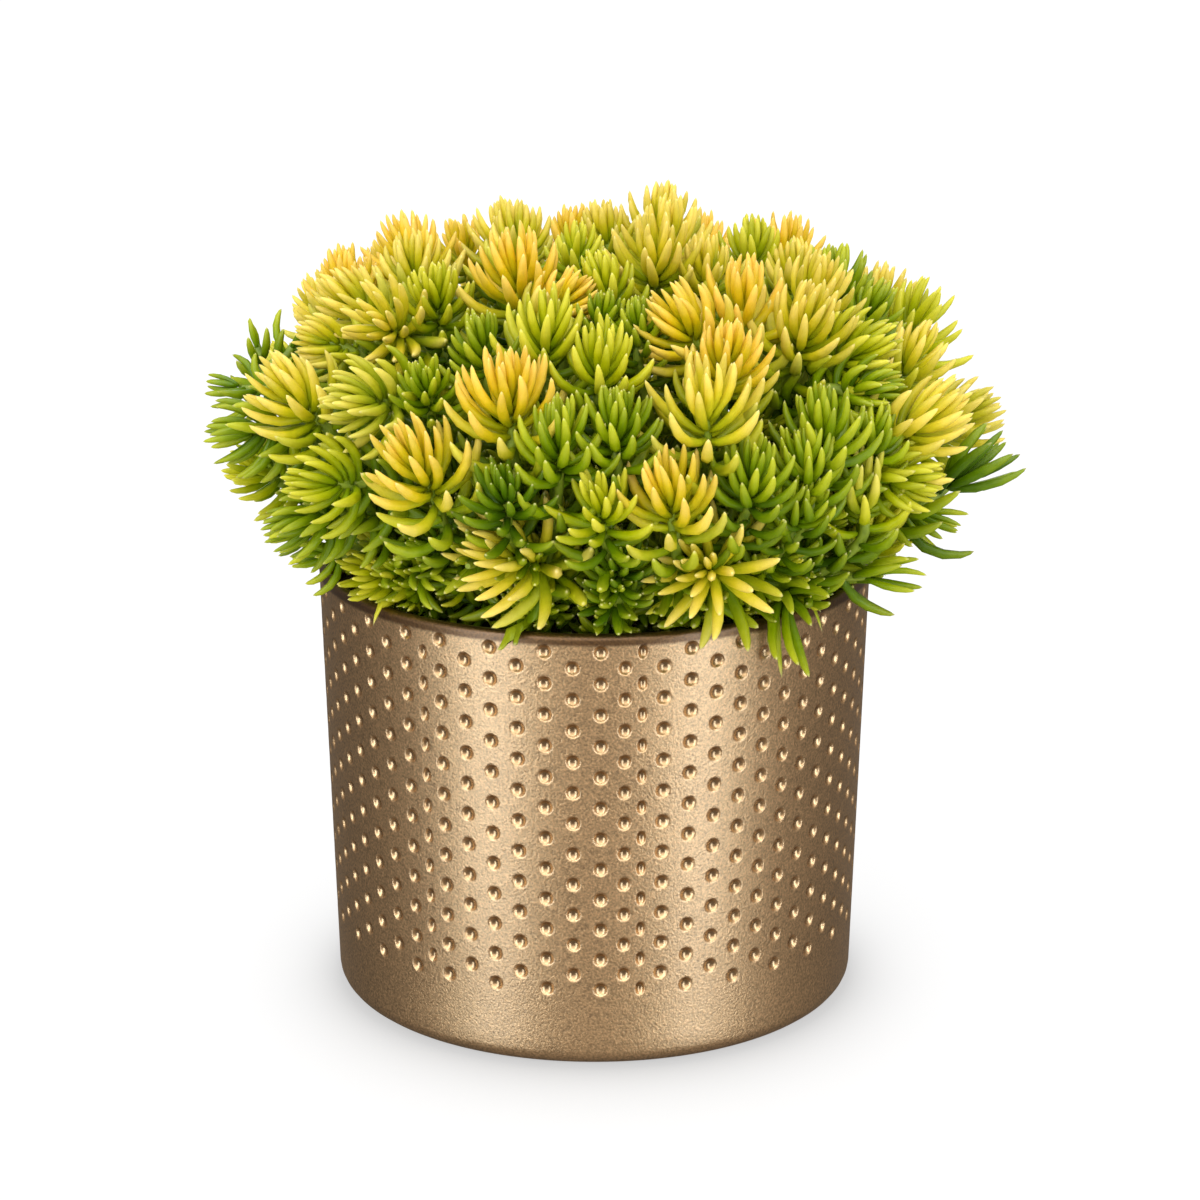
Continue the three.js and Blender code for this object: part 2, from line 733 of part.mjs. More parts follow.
const group = new THREE.Group();
const solids = pairs.map((pair) => {
  const [first, second] = pair.map((head) => solidOf(head.skin.geometry()));
  return first.add(second);
});
pairs.forEach(([first, second], shoot) => {
  const colour = new THREE.Color(toneColours[first.tone]).lerp(new THREE.Color(toneColours[second.tone]), 0.5);
  const name = `shoot_${String(shoot + 1).padStart(2, "0")}`;
  group.add(namedMesh(name, geometryOf(solids[shoot]), colour, 0.45, 0));
});
group.add(namedMesh("pot", potGeometry(), 0x9c8468, 0.35, 0.85));
group.add(namedMesh("soil", geometryOf(soilSolid()), 0x2b2019, 0.95, 0));

export default group;
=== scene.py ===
import math

import bpy
import numpy as np
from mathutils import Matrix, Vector


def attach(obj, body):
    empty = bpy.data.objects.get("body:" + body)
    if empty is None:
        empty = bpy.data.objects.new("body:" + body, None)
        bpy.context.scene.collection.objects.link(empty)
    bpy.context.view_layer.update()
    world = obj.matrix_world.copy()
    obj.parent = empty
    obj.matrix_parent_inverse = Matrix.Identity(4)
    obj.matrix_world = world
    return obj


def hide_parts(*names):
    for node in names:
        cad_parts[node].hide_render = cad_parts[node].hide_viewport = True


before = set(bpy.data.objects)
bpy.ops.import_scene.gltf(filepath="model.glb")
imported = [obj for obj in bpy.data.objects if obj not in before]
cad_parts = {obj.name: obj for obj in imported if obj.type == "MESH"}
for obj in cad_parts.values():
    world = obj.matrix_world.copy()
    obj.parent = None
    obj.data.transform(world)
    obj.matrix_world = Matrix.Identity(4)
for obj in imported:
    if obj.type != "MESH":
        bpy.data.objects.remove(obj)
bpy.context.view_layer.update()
scene = bpy.context.scene
print("frame loaded:", len(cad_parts), "nodes")

mm = 0.001
goldenAngle = math.pi * (3 - math.sqrt(5))


# The two methods of an operator: with the socket first, and with the socket second
def bothWays(operation):
    first = lambda self, other: self.tree.reckon(operation, self, other)
    second = lambda self, other: self.tree.reckon(operation, other, self)
    return first, second


# One socket in a Python sum. Numbers add Math nodes, and vectors add Vector Math nodes.
class Flow:
    def __init__(self, tree, socket):
        self.tree = tree
        self.socket = socket
        self.isVector = socket.type in ("VECTOR", "RGBA")

    __add__, __radd__ = bothWays("ADD")
    __sub__, __rsub__ = bothWays("SUBTRACT")
    __mul__, __rmul__ = bothWays("MULTIPLY")
    __truediv__, __rtruediv__ = bothWays("DIVIDE")

    def __neg__(self):
        return self * -1

    # another output of the same node
    def also(self, name):
        return Flow(self.tree, self.socket.node.outputs[name])


# A node tree that is built by calls
class Wiring:
    def __init__(self, tree):
        self.tree = tree

    # adds a node: settings are set first, and "stops" is a ramp's list of places and colours
    def add(self, kind, settings=None, inputs=None, give=0):
        node = self.tree.nodes.new(kind)
        for name, value in (settings or {}).items():
            if name == "stops":
                self.setStops(node.color_ramp, value)
            else:
                setattr(node, name, value)
        for name, value in (inputs or {}).items():
            if isinstance(value, (Flow, list)):
                for link in value if isinstance(value, list) else [value]:
                    self.tree.links.new(link.socket, node.inputs[name])
            elif value is not None:
                node.inputs[name].default_value = value
        return Flow(self, node.outputs[give]) if len(node.outputs) else node

    def setStops(self, ramp, stops):
        while len(ramp.elements) < len(stops):
            ramp.elements.new(1)
        for element, (place, colour) in zip(ramp.elements, stops):
            element.position = place
            element.color = colour

    def reckon(self, operation, a, b):
        areVectors = [isinstance(value, Flow) and value.isVector for value in (a, b)]
        if not any(areVectors):
            return self.sum(operation, a, b)
        if all(areVectors):
            return self.vectorSum(operation, a, b)
        vector, factor = (a, b) if areVectors[0] else (b, a)
        return self.add("ShaderNodeVectorMath", {"operation": "SCALE"}, {0: vector, 3: factor})

    def sum(self, operation, a, b=None, c=None):
        return self.add("ShaderNodeMath", {"operation": operation}, {0: a, 1: b, 2: c})

    def vectorSum(self, operation, a, b=None):
        return self.add("ShaderNodeVectorMath", {"operation": operation}, {0: a, 1: b})

    def mixNumbers(self, share, a, b):
        return self.add("ShaderNodeMix", {"data_type": "FLOAT"}, {0: share, 2: a, 3: b}, 0)

    def mixColours(self, share, a, b):
        return self.add("ShaderNodeMix", {"data_type": "RGBA"}, {0: share, 6: a, 7: b}, 2)

    # goes from one number to another as a value goes from low to high, softly or in a straight line
    def ease(self, value, low, high, first=0, last=1, soft=True):
        settings = {"interpolation_type": "SMOOTHSTEP" if soft else "LINEAR"}
        inputs = {"Value": value, "From Min": low, "From Max": high, "To Min": first, "To Max": last}
        return self.add("ShaderNodeMapRange", settings, inputs)

    def named(self, name, kind="FLOAT"):
        return self.add("GeometryNodeInputNamedAttribute", {"data_type": kind}, {"Name": name})

    # stores each value on the points, under its name
    def keep(self, geometry, **values):
        for name, value in values.items():
            settings = {"data_type": "FLOAT_VECTOR" if value.isVector else "FLOAT", "domain": "POINT"}
            inputs = {"Geometry": geometry, "Name": name, "Value": value}
            geometry = self.add("GeometryNodeStoreNamedAttribute", settings, inputs)
        return geometry

    def chance(self, low, high, seed):
        return self.add("FunctionNodeRandomValue", {"data_type": "FLOAT"}, {2: low, 3: high, 8: seed}, 1)

    def test(self, operation, a, b, leeway=None):
        return self.add("FunctionNodeCompare", {"operation": operation}, {0: a, 1: b, 12: leeway})

    # the x, y and z of a vector, or a vector made of them
    def split(self, vector):
        parts = self.add("ShaderNodeSeparateXYZ", {}, {0: vector})
        return parts, parts.also("Y"), parts.also("Z")

    def join(self, x, y, z):
        return self.add("ShaderNodeCombineXYZ", {}, {0: x, 1: y, 2: z})

    # copies of a template on points
    def strew(self, points, template, inputs=None):
        inputs = {"Points": points, "Instance": template} | (inputs or {})
        return self.add("GeometryNodeInstanceOnPoints", {}, inputs)

    def move(self, geometry, place):
        return self.add("GeometryNodeSetPosition", {}, {"Geometry": geometry, "Position": place})

    # the last steps of every tree: real faces, smooth, with their material
    def finishMesh(self, geometry, paint):
        real = self.add("GeometryNodeRealizeInstances", {}, {0: geometry})
        shaded = self.add("GeometryNodeSetShadeSmooth", {}, {0: real, "Shade Smooth": True})
        return self.add("GeometryNodeSetMaterial", {}, {0: shaded, "Material": paint})

    def shapeOf(self, template):
        inputs = {"Object": template, "As Instance": False}
        return self.add("GeometryNodeObjectInfo", {"transform_space": "ORIGINAL"}, inputs, "Geometry")

    # the steps that most paints share
    def surfacePlace(self):
        return self.add("ShaderNodeTexCoord", {}, {}, "Object")

    def attribute(self, name):
        return self.add("ShaderNodeAttribute", {"attribute_name": name}, {}, "Fac")

    def noise(self, place, scale, detail):
        return self.add("ShaderNodeTexNoise", {}, {"Vector": place, "Scale": scale, "Detail": detail})

    def ramp(self, stops, value):
        return self.add("ShaderNodeValToRGB", {"stops": stops}, {"Fac": value})

    def bump(self, height, strength, distance):
        return self.add("ShaderNodeBump", {}, {"Height": height, "Strength": strength, "Distance": distance})

    def surface(self, inputs):
        return self.add("ShaderNodeBsdfPrincipled", {}, inputs)


def blank(name, mesh):
    piece = bpy.data.objects.new(name, mesh)
    scene.collection.objects.link(piece)
    return piece


def meshFrom(name, points, faces, edges=()):
    mesh = bpy.data.meshes.new(name)
    mesh.from_pydata([tuple(p) for p in points], edges, faces)
    mesh.update()
    return mesh


# four-sided faces between rings of points that follow each other, seen from outside or from inside
def ringFaces(first, count, rings, fromInside=False):
    faces = []
    for start in range(first, first + (rings - 1) * count, count):
        for k in range(count):
            a, b = start + k, start + (k + 1) % count
            faces.append((a, a + count, b + count, b) if fromInside else (a, b, b + count, a + count))
    return faces


# three-sided faces from a ring to one point
def fanFaces(pole, first, count, fromInside=False):
    sides = [(first + k, first + (k + 1) % count) for k in range(count)]
    return [(b, a, pole) if fromInside else (a, b, pole) for a, b in sides]


# a number or a vector for each point
def storeAttribute(piece, name, values):
    values = np.asarray(values, dtype=float)
    kind, field = ("FLOAT", "value") if values.ndim == 1 else ("FLOAT_VECTOR", "vector")
    piece.data.attributes.new(name, kind, "POINT").data.foreach_set(field, values.ravel())


def material(name, surface, *details):
    made = bpy.data.materials.new(name)
    made.use_nodes = True
    made.node_tree.nodes.clear()
    net = Wiring(made.node_tree)
    net.add("ShaderNodeOutputMaterial", {}, {"Surface": surface(net, *details)})
    return made


# A Geometry Nodes group with named inputs, laid on a piece as a modifier and turned into a plain mesh
def grow(piece, name, sizes, build, *details):
    group = bpy.data.node_groups.new(name, "GeometryNodeTree")
    group.interface.new_socket(name="Geometry", in_out="INPUT", socket_type="NodeSocketGeometry")
    group.interface.new_socket(name="Geometry", in_out="OUTPUT", socket_type="NodeSocketGeometry")
    identifiers = {}
    for title, value in sizes.items():
        kind = "NodeSocketInt" if isinstance(value, int) else "NodeSocketFloat"
        socket = group.interface.new_socket(name=title, in_out="INPUT", socket_type=kind)
        socket.default_value = value
        identifiers[title] = socket.identifier
    net = Wiring(group)
    entry = group.nodes.new("NodeGroupInput")
    taken = {socket.name: Flow(net, socket) for socket in entry.outputs if socket.name}
    net.add("NodeGroupOutput", {}, {0: build(net, taken, *details)})
    modifier = piece.modifiers.new(name, "NODES")
    modifier.node_group = group
    for title, value in sizes.items():
        modifier[identifiers[title]] = value
    bpy.context.view_layer.update()
    graph = bpy.context.evaluated_depsgraph_get()
    grown = bpy.data.meshes.new_from_object(piece.evaluated_get(graph), depsgraph=graph)
    piece.modifiers.clear()
    piece.data = grown
    grown.name = piece.name
    return piece


def trianglesOf(piece):
    return sum(len(p.vertices) - 2 for p in piece.data.polygons)


# Where the heads and stems stand. This repeats the rule that the solids were made by, in millimetres.
potSize = {
    "height": 101.6,
    "rimRadius": 63.5,
    "baseRadius": 60.3,
    "footCorner": 4.0,
    "lipRounding": 1.3,
    "innerRounding": 0.5,
    "wallThickness": 2.2,
    "floorThickness": 3.0,
    "soilDepthBelowRim": 9.0,
}
plant = {
    "domeRise": 32,
    "heartSpread": 78,
    "heartHeight": 36,
    "heartSpacing": 9,
    "heartRounds": 20,
    "lowestHeart": potSize["height"] + 4.5,
    "shootCount": 58,
    "rootReach": 47,
    "rootSpacing": 7,
    "rootRounds": 40,
    "rootDepth": 9,
    "middleRise": 4,
    "collarHeight": 1.5,
    "neckLength": 8,
    "stemRadius": 1.35,
    "branchRadius": 1.15,
    "stemSpacing": 3.7,
    "clearance": 0.45,
    "forkShare": 0.55,
    "branchStart": 0.1,
    "bendRounds": 60,
    "bendShare": 0.6,
    "swapRounds": 4,
    "drawState": 4711,
}
viewer = {"distance": 826, "tilt": math.radians(15.9), "lens": 107.28, "shiftX": 0.0046, "shiftY": -0.0379}

# A heart is the middle of a head of leaves. Each row says where one shows, in millimetres across and up from
# the middle of the rim, how many degrees the head leans to the right of upright and how many it faces the
# viewer, its size beside a head of common size, and its tone.
seenHeads = [
    (-41, 61, -3, 0, 1.0, "yellow"),
    (-36, 55, -8, 30, 0.95, "lime"),
    (-52, 55, -48, 5, 1.05, "yellow"),
    (-45, 51, -65, 55, 1.15, "cream"),
    (-58, 48, -72, 0, 0.85, "yellow"),
    (-77, 45, -15, 0, 0.65, "green"),
    (-71, 46, 32, -5, 0.65, "green"),
    (-65, 32, -45, 20, 1.25, "yellow"),
    (-77, 38, -82, -10, 0.8, "green"),
    (-73, 29, -98, -5, 1.0, "green"),
    (-48, 35, -88, 35, 1.15, "pale"),
    (-57, 16, -85, 25, 1.1, "lime"),
    (-62, 9, -110, 5, 1.05, "green"),
    (-60, 0, -95, 5, 0.65, "green"),
    (-38, 15, -30, 35, 1.3, "amber"),
    (-45, -4, -85, 45, 1.15, "lime"),
    (-19, 29, -5, 28, 1.35, "orange"),
    (-8, 21, 0, 28, 1.1, "green"),
    (-20, 10, -5, 45, 0.95, "dark"),
    (5, 25, 0, 25, 1.0, "green"),
    (-17, 58, -8, 20, 1.3, "orange"),
    (-10, 55, 42, 15, 0.9, "orange"),
    (-11, 45, 0, 22, 1.2, "lime"),
    (-17, 68, 0, 2, 1.0, "yellow"),
    (-4, 66, 0, 5, 0.8, "lime"),
    (1, 39, 3, 25, 1.1, "lime"),
    (15, 72, 0, 8, 1.1, "yellow"),
    (14, 62, -3, 35, 1.25, "yellow"),
    (3, 58, -12, 15, 0.9, "lime"),
    (3, 70, -5, 5, 0.9, "yellow"),
    (36, 65, 0, 5, 1.0, "lime"),
    (46, 61, 3, 8, 0.9, "yellow"),
    (55, 58, 10, 3, 1.05, "green"),
    (62, 53, 30, 0, 0.85, "green"),
    (34, 51, 0, 22, 1.3, "orange"),
    (26, 61, 3, 15, 0.95, "yellow"),
    (47, 46, 15, 35, 1.3, "yellow"),
    (56, 43, 65, 15, 1.15, "lime"),
    (71, 41, 30, 0, 1.05, "yellow"),
    (70, 27, 55, 20, 1.35, "cream"),
    (79, 14, 55, -5, 1.15, "dark"),
    (72, 11, 108, 5, 0.9, "green"),
    (67, 18, 92, 5, 0.95, "lime"),
    (24, 48, -42, 25, 1.2, "amber"),
    (30, 39, 8, 22, 1.1, "orange"),
    (26, 27, -2, 35, 1.4, "cream"),
    (36, 13, 3, 30, 1.05, "green"),
    (53, 24, 0, 20, 1.1, "green"),
    (49, 16, -3, 15, 0.95, "green"),
    (46, 7, 18, 30, 0.9, "green"),
    (62, 11, 5, 15, 1.1, "pale"),
    (61, 3, 30, 35, 1.0, "lime"),
    (59, -5, 92, 20, 1.0, "green"),
    (49, 0, 20, 50, 0.8, "dark"),
    (29, -4, -40, 80, 1.3, "cream"),
    (43, -12, 160, 50, 0.95, "green"),
    (18, 8, -8, 32, 1.25, "amber"),
    (2, 7, -12, 45, 1.0, "lime"),
    (-9, -8, -60, 60, 1.45, "cream"),
    (8, -12, 0, 82, 1.0, "dark"),
    (6, -4, 0, 45, 0.75, "dark"),
    (2, 52, 5, 20, 0.65, "green"),
    (10, 50, 0, 20, 0.7, "green"),
    (-25, 44, -10, 25, 0.9, "green"),
    (-38, 35, 0, 40, 0.8, "green"),
    (-35, -5, 100, 40, 0.8, "green"),
    (64, 24, 5, 10, 0.8, "green"),
    (59, 38, 88, 12, 0.85, "green"),
]
tones = ["dark", "green", "lime", "pale", "yellow", "cream", "amber", "orange"]


# A repeatable draw between 0 and 1, the same in every run
class Draw:
    factor, modulus = 16807, 2147483647

    def __init__(self, state):
        self.state = state

    def __call__(self, low=0.0, high=1.0):
        self.state = self.state * self.factor % self.modulus
        return low + (high - low) * self.state / self.modulus


def vec(x, y, z):
    return np.array((x, y, z), float)


def unit(v):
    return v / np.linalg.norm(v)


def lengthOf(v):
    return math.sqrt(float(v @ v))


# where the line of sight to each row of the list meets the dome
def placeSeenHeads(domeCentre):
    tilt = viewer["tilt"]
    rimCentre = vec(0, 0, potSize["height"])
    toViewer = vec(0, -math.cos(tilt), math.sin(tilt))
    pictureUp = vec(0, math.sin(tilt), math.cos(tilt))
    eye = rimCentre + toViewer * viewer["distance"]
    shrink = 1 / vec(plant["heartSpread"], plant["heartSpread"], plant["heartHeight"])
    placed = []
    for across, up, lean, facing, size, tone in seenHeads:
        aim = rimCentre + pictureUp * up + vec(across, 0, 0)
        sight = unit(aim - eye)
        start = (eye - domeCentre) * shrink
        step = sight * shrink
        nearest = -(start @ step) / (step @ step)
        room = nearest**2 - (start @ start - 1) / (step @ step)
        heart = eye + sight * (nearest - math.sqrt(max(room, 0)))
        lean, facing = math.radians(lean), math.radians(facing)
        axis = (pictureUp * math.cos(lean) + vec(math.sin(lean), 0, 0)) * math.cos(facing)
        axis = unit(axis + toViewer * math.sin(facing))
        placed.append({"heart": heart, "axis": axis, "size": size, "tone": tone})
    return placed


# the rest of the dome: each next head goes to the place that is furthest from all the others
def fillDome(placed, domeCentre, draw):
    places, lowest = 600, -0.72
    spread, height = plant["heartSpread"], plant["heartHeight"]
    levels = [1 + (lowest - 1) * ((i + 0.5) / places) for i in range(places)]
    spots = []
    for i, level in enumerate(levels):
        radius = spread * math.sqrt(1 - level**2)
        spots.append((radius * math.cos(i * goldenAngle), radius * math.sin(i * goldenAngle), height * level))
    spots = np.array(spots) + domeCentre
    hearts = np.array([head["heart"] for head in placed])
    room = np.linalg.norm(spots[:, None] - hearts[None], axis=2).min(axis=1)
    while len(placed) < 2 * plant["shootCount"]:
        widest = int(np.argmax(room))
        placed.append(dressPlace(spots[widest], levels[widest], domeCentre, draw))
        room = np.minimum(room, np.linalg.norm(spots - spots[widest], axis=1))


def dressPlace(place, level, domeCentre, draw):
    upturn, waywardness, lowLevel = 0.8, 0.35, -0.3
    smallest, largest, lowLoss, sunnyGain = 0.9, 1.3, 0.1, 0.3
    flat = vec(plant["heartSpread"], plant["heartSpread"], plant["heartHeight"])
    axis = unit(unit((place - domeCentre) / flat / flat) + vec(0, 0, upturn))
    axis[0] += waywardness * (draw() - 0.5)
    axis[1] += waywardness * (draw() - 0.5)
    size = draw(smallest, largest) - (lowLoss if level < lowLevel else 0)
    sunny = min(max(draw() + sunnyGain * level, 0), 0.99)
    tone = tones[math.floor(1 + (len(tones) - 1) * sunny)]
    return {"heart": place.copy(), "axis": unit(axis), "size": size, "tone": tone}


# moves places that stand nearer than the spacing apart, one pair after another
def pushApart(places, spacing, rounds, lowest=None):
    for _ in range(rounds):
        for i in range(len(places)):
            j = -1
            while True:
                gaps = np.linalg.norm(places - places[i], axis=1)
                near = [int(k) for k in np.nonzero(gaps < spacing)[0] if k > j and k != i]
                if not near:
                    break
                j = near[0]
                push = (places[j] - places[i]) * ((spacing - gaps[j]) / (2 * gaps[j]))
                places[j] += push
                places[i] -= push
            if lowest is not None:
                places[i, 2] = max(places[i, 2], lowest)


# two by two, neighbouring heads share a shoot, and the most lonely head chooses first
def pairHeads(necks):
    gaps = np.linalg.norm(necks[:, None] - necks[None], axis=2)
    np.fill_diagonal(gaps, np.inf)
    free = list(range(len(necks)))
    pairs = []
    while free:
        among = gaps[np.ix_(free, free)]
        mates = among.argmin(axis=1)
        choice = int(among.min(axis=1).argmax())
        pair = [free[choice], free[int(mates[choice])]]
        pairs.append(pair)
        free = [k for k in free if k not in pair]
    square = lambda a, b: float((necks[a] - necks[b]) @ (necks[a] - necks[b]))
    for _ in range(plant["swapRounds"]):
        for i, pair in enumerate(pairs):
            for other in pairs[:i]:
                for k in (0, 1):
                    now = square(*pair) + square(*other)
                    swapped = square(pair[0], other[k]) + square(pair[1], other[1 - k])
                    if swapped < now:
                        pair[1], other[k] = other[k], pair[1]
    return pairs


# where each shoot leaves the soil
def placeRoots(necks, pairs, soilTop):
    middle = vec(0, 0, potSize["height"] + plant["middleRise"])
    roots = []
    for first, second in pairs:
        reach = necks[first] + (necks[second] - necks[first]) * 0.5 - middle
        slope = min(math.acos(reach[2] / lengthOf(reach)), math.pi / 2)
        radius = plant["rootReach"] * math.sin(slope / 2) / math.sin(math.pi / 4)
        flat = unit(vec(reach[0], reach[1], 0)) * radius
        roots.append(vec(flat[0], flat[1], soilTop))
    roots = np.array(roots)
    pushApart(roots, plant["rootSpacing"], plant["rootRounds"])
    return roots


# the distance between two straight stretches
def stretchGap(fromA, toA, fromB, toB):
    u, v, w = toA - fromA, toB - fromB, fromA - fromB
    uu, uv, vv, uw, vw = u @ u, u @ v, v @ v, u @ w, v @ w
    slant = uu * vv - uv * uv
    s = min(max((uv * vw - vv * uw) / slant, 0), 1) if slant > 1e-9 else 0
    t = min(max((uv * s + vw) / vv, 0), 1)
    s = min(max((uv * t - uw) / uu, 0), 1)
    return lengthOf(w + u * s - v * t)


# a shoot's second branch, curved from the stem past its neck to its heart
def branchPoints(start, neck, heart):
    shares = (0, 1 / 3, 2 / 3, 1)
    return [start * (1 - t) ** 2 + neck * 2 * t * (1 - t) + heart * t**2 for t in shares]


# bends stems that come too near to each other or to the pot's lip, by their forks and necks
def bendStemsClear(roots, forks, necks, hearts, pairs):
    spacing = plant["stemSpacing"]
    room = plant["stemRadius"] + plant["clearance"]
    inside = potSize["rimRadius"] - potSize["wallThickness"] - room
    perShoot = 5
    for _ in range(plant["bendRounds"]):
        ends = []
        for k, (first, second) in enumerate(pairs):
            collar = roots[k] + vec(0, 0, plant["collarHeight"])
            start = forks[k] + (necks[first] - forks[k]) * plant["branchStart"]
            side = branchPoints(start, necks[second], hearts[second])
            ends += [(collar, forks[k]), (forks[k], necks[first]), (necks[first], hearts[first])]
            ends += [(side[1], side[2]), (side[2], side[3])]
        starts = np.array([a for a, b in ends])
        stops = np.array([b for a, b in ends])
        middles = starts + (stops - starts) * 0.5
        reaches = np.linalg.norm(stops - starts, axis=1) / 2 + plant["stemRadius"]
        shoots = np.arange(len(ends)) // perShoot

        def shift(k, spot, push):
            first, second = pairs[k]
            controls = [forks[k], necks[first], necks[second]]
            nearest = min(range(3), key=lambda c: lengthOf(controls[c] - spot))
            controls[nearest] += push
            row = perShoot * k
            stops[row] = starts[row + 1] = forks[k]
            stops[row + 1] = starts[row + 2] = necks[first]

        for i in range(len(ends)):
            apart = np.linalg.norm(middles - middles[i], axis=1)
            near = (apart <= reaches + reaches[i] + spacing) & (shoots != shoots[i])
            near[: i + 1] = False
            for j in np.nonzero(near)[0]:
                gap = stretchGap(starts[i], stops[i], starts[j], stops[j])
                if gap < spacing:
                    push = unit(middles[j] - middles[i]) * ((spacing - gap) * plant["bendShare"])
                    shift(shoots[j], middles[j], push)
                    shift(shoots[i], middles[i], -push)
            if math.hypot(stops[i][0], stops[i][1]) > inside and stops[i][2] < potSize["height"] + room:
                shift(shoots[i], stops[i].copy(), vec(0, 0, 1))


def planPlant():
    domeCentre = vec(0, 0, potSize["height"] + plant["domeRise"])
    draw = Draw(plant["drawState"])
    placed = placeSeenHeads(domeCentre)
    fillDome(placed, domeCentre, draw)
    hearts = np.array([head["heart"] for head in placed])
    axes = np.array([head["axis"] for head in placed])
    pushApart(hearts, plant["heartSpacing"], plant["heartRounds"], plant["lowestHeart"])
    necks = hearts - axes * plant["neckLength"]
    pairs = pairHeads(necks)
    soilTop = potSize["height"] - potSize["soilDepthBelowRim"]
    roots = placeRoots(necks, pairs, soilTop)
    middles = [necks[a] + (necks[b] - necks[a]) * 0.5 for a, b in pairs]
    forks = np.array([root + (m - root) * plant["forkShare"] for root, m in zip(roots, middles)])
    bendStemsClear(roots, forks, necks, hearts, pairs)
    for head, heart in zip(placed, hearts):
        head["heart"] = heart
    return placed, pairs, roots, forks, necks


heads, pairs, roots, forks, necks = planPlant()
shootNames = [f"shoot_{k + 1:02d}" for k in range(len(pairs))]
print("plan made:", len(heads), "heads on", len(pairs), "shoots")


# Paints. Colours are written as they look in daylight, 0 to 255.
def daylight(red, green, blue):
    steps = [c / 255 for c in (red, green, blue)]
    return tuple(c / 12.92 if c < 0.04045 else ((c + 0.055) / 1.055) ** 2.4 for c in steps) + (1,)


# For each tone, the colours at a leaf's root, middle and tip
leafPaint = {
    "dark": [(56, 90, 0), (84, 118, 0), (112, 136, 6)],
    "green": [(96, 130, 0), (134, 158, 0), (167, 176, 30)],
    "lime": [(142, 166, 0), (189, 191, 4), (210, 204, 48)],
    "pale": [(154, 172, 16), (194, 194, 44), (218, 208, 86)],
    "yellow": [(160, 174, 2), (214, 199, 24), (234, 208, 96)],
    "cream": [(186, 192, 16), (226, 210, 46), (240, 216, 101)],
    "amber": [(168, 174, 2), (227, 201, 20), (240, 204, 88)],
    "orange": [(172, 174, 2), (233, 199, 20), (247, 204, 88)],
    "dryPoint": (244, 226, 170),
    "dryShare": 0.5,
    "middleFrom": (0.08, 0.66),
    "tipFrom": (0.5, 0.98),
    "dryFrom": (0.94, 1.0),
    "sunnyRoughness": 0.42,
    "greenRoughness": 0.36,
    "roughnessDrift": 0.2,
    "patchScale": 420,
    "speckScale": 2600,
    "specks": 0.16,
    "relief": 0.25,
    "reliefDepth": 0.00012,
    "shadeOfPlace": 0.16,
    "shadeOfLeaf": 0.22,
    "darkest": 0.86,
    "driftOfPlace": 0.28,
    "driftOfLeaf": 0.2,
}


def leafSurface(net, roughness):
    along, tone, luck = net.attribute("along"), net.attribute("tone"), net.attribute("luck")

    def part(index):
        colours = [daylight(*leafPaint[title][index]) for title in tones]
        return net.ramp([(k / (len(tones) - 1), colour) for k, colour in enumerate(colours)], tone)

    position = net.surfacePlace()
    broad = net.noise(position, leafPaint["patchScale"], 2) - 0.5
    fine = net.noise(position, leafPaint["speckScale"], 2)
    drift = along + broad * leafPaint["driftOfPlace"] + (luck - 0.5) * leafPaint["driftOfLeaf"]
    body = net.mixColours(net.ease(drift, *leafPaint["middleFrom"]), part(0), part(1))
    body = net.mixColours(net.ease(drift, *leafPaint["tipFrom"]), body, part(2))
    dryness = net.ease(along, *leafPaint["dryFrom"], 0, leafPaint["dryShare"])
    body = net.mixColours(dryness, body, daylight(*leafPaint["dryPoint"]))
    shade = leafPaint["darkest"] + luck * leafPaint["shadeOfLeaf"]
    shade = shade + (fine - 0.5) * leafPaint["specks"] + broad * leafPaint["shadeOfPlace"]
    inputs = {"Base Color": body * shade, "Roughness": roughness + broad * leafPaint["roughnessDrift"]}
    bump = net.bump(fine, leafPaint["relief"], leafPaint["reliefDepth"])
    inputs |= {"Normal": bump, "IOR": 1.4, "Specular IOR Level": 0.34}
    inputs |= {"Subsurface Weight": 0.12, "Subsurface Radius": (0.8, 0.8, 0.3), "Subsurface Scale": 0.0015}
    return net.surface(inputs)


# Painted shade: the top of the lip is darker brown, for the shade of the leaves over it. It begins between the
# two heights that follow, in millimetres
potPaint = {
    "metal": (209, 173, 126),
    "lip": (98, 66, 28),
    "shadeOnLipFrom": 98.7,
    "shadeOnLipFull": 99.7,
    "shadeOnLipShare": 0.92,
    # painted shade in the dimples: a darker brown that the hollows take
    "dimpleShade": (142, 119, 90),
    "dimpleShadeShare": 0.7,
    "roughness": 0.44,
    "hollowRoughness": 0.28,
    "grainScale": 1900,
    "grainShade": 1.7,
    "grainGloss": 0.16,
    "grainRelief": 0.8,
    "grainDepth": 0.00014,
    "cloudScale": 60,
    "cloudShade": 0.2,
    "coat": 0.8,
    "hollowCoat": 0.2,
}


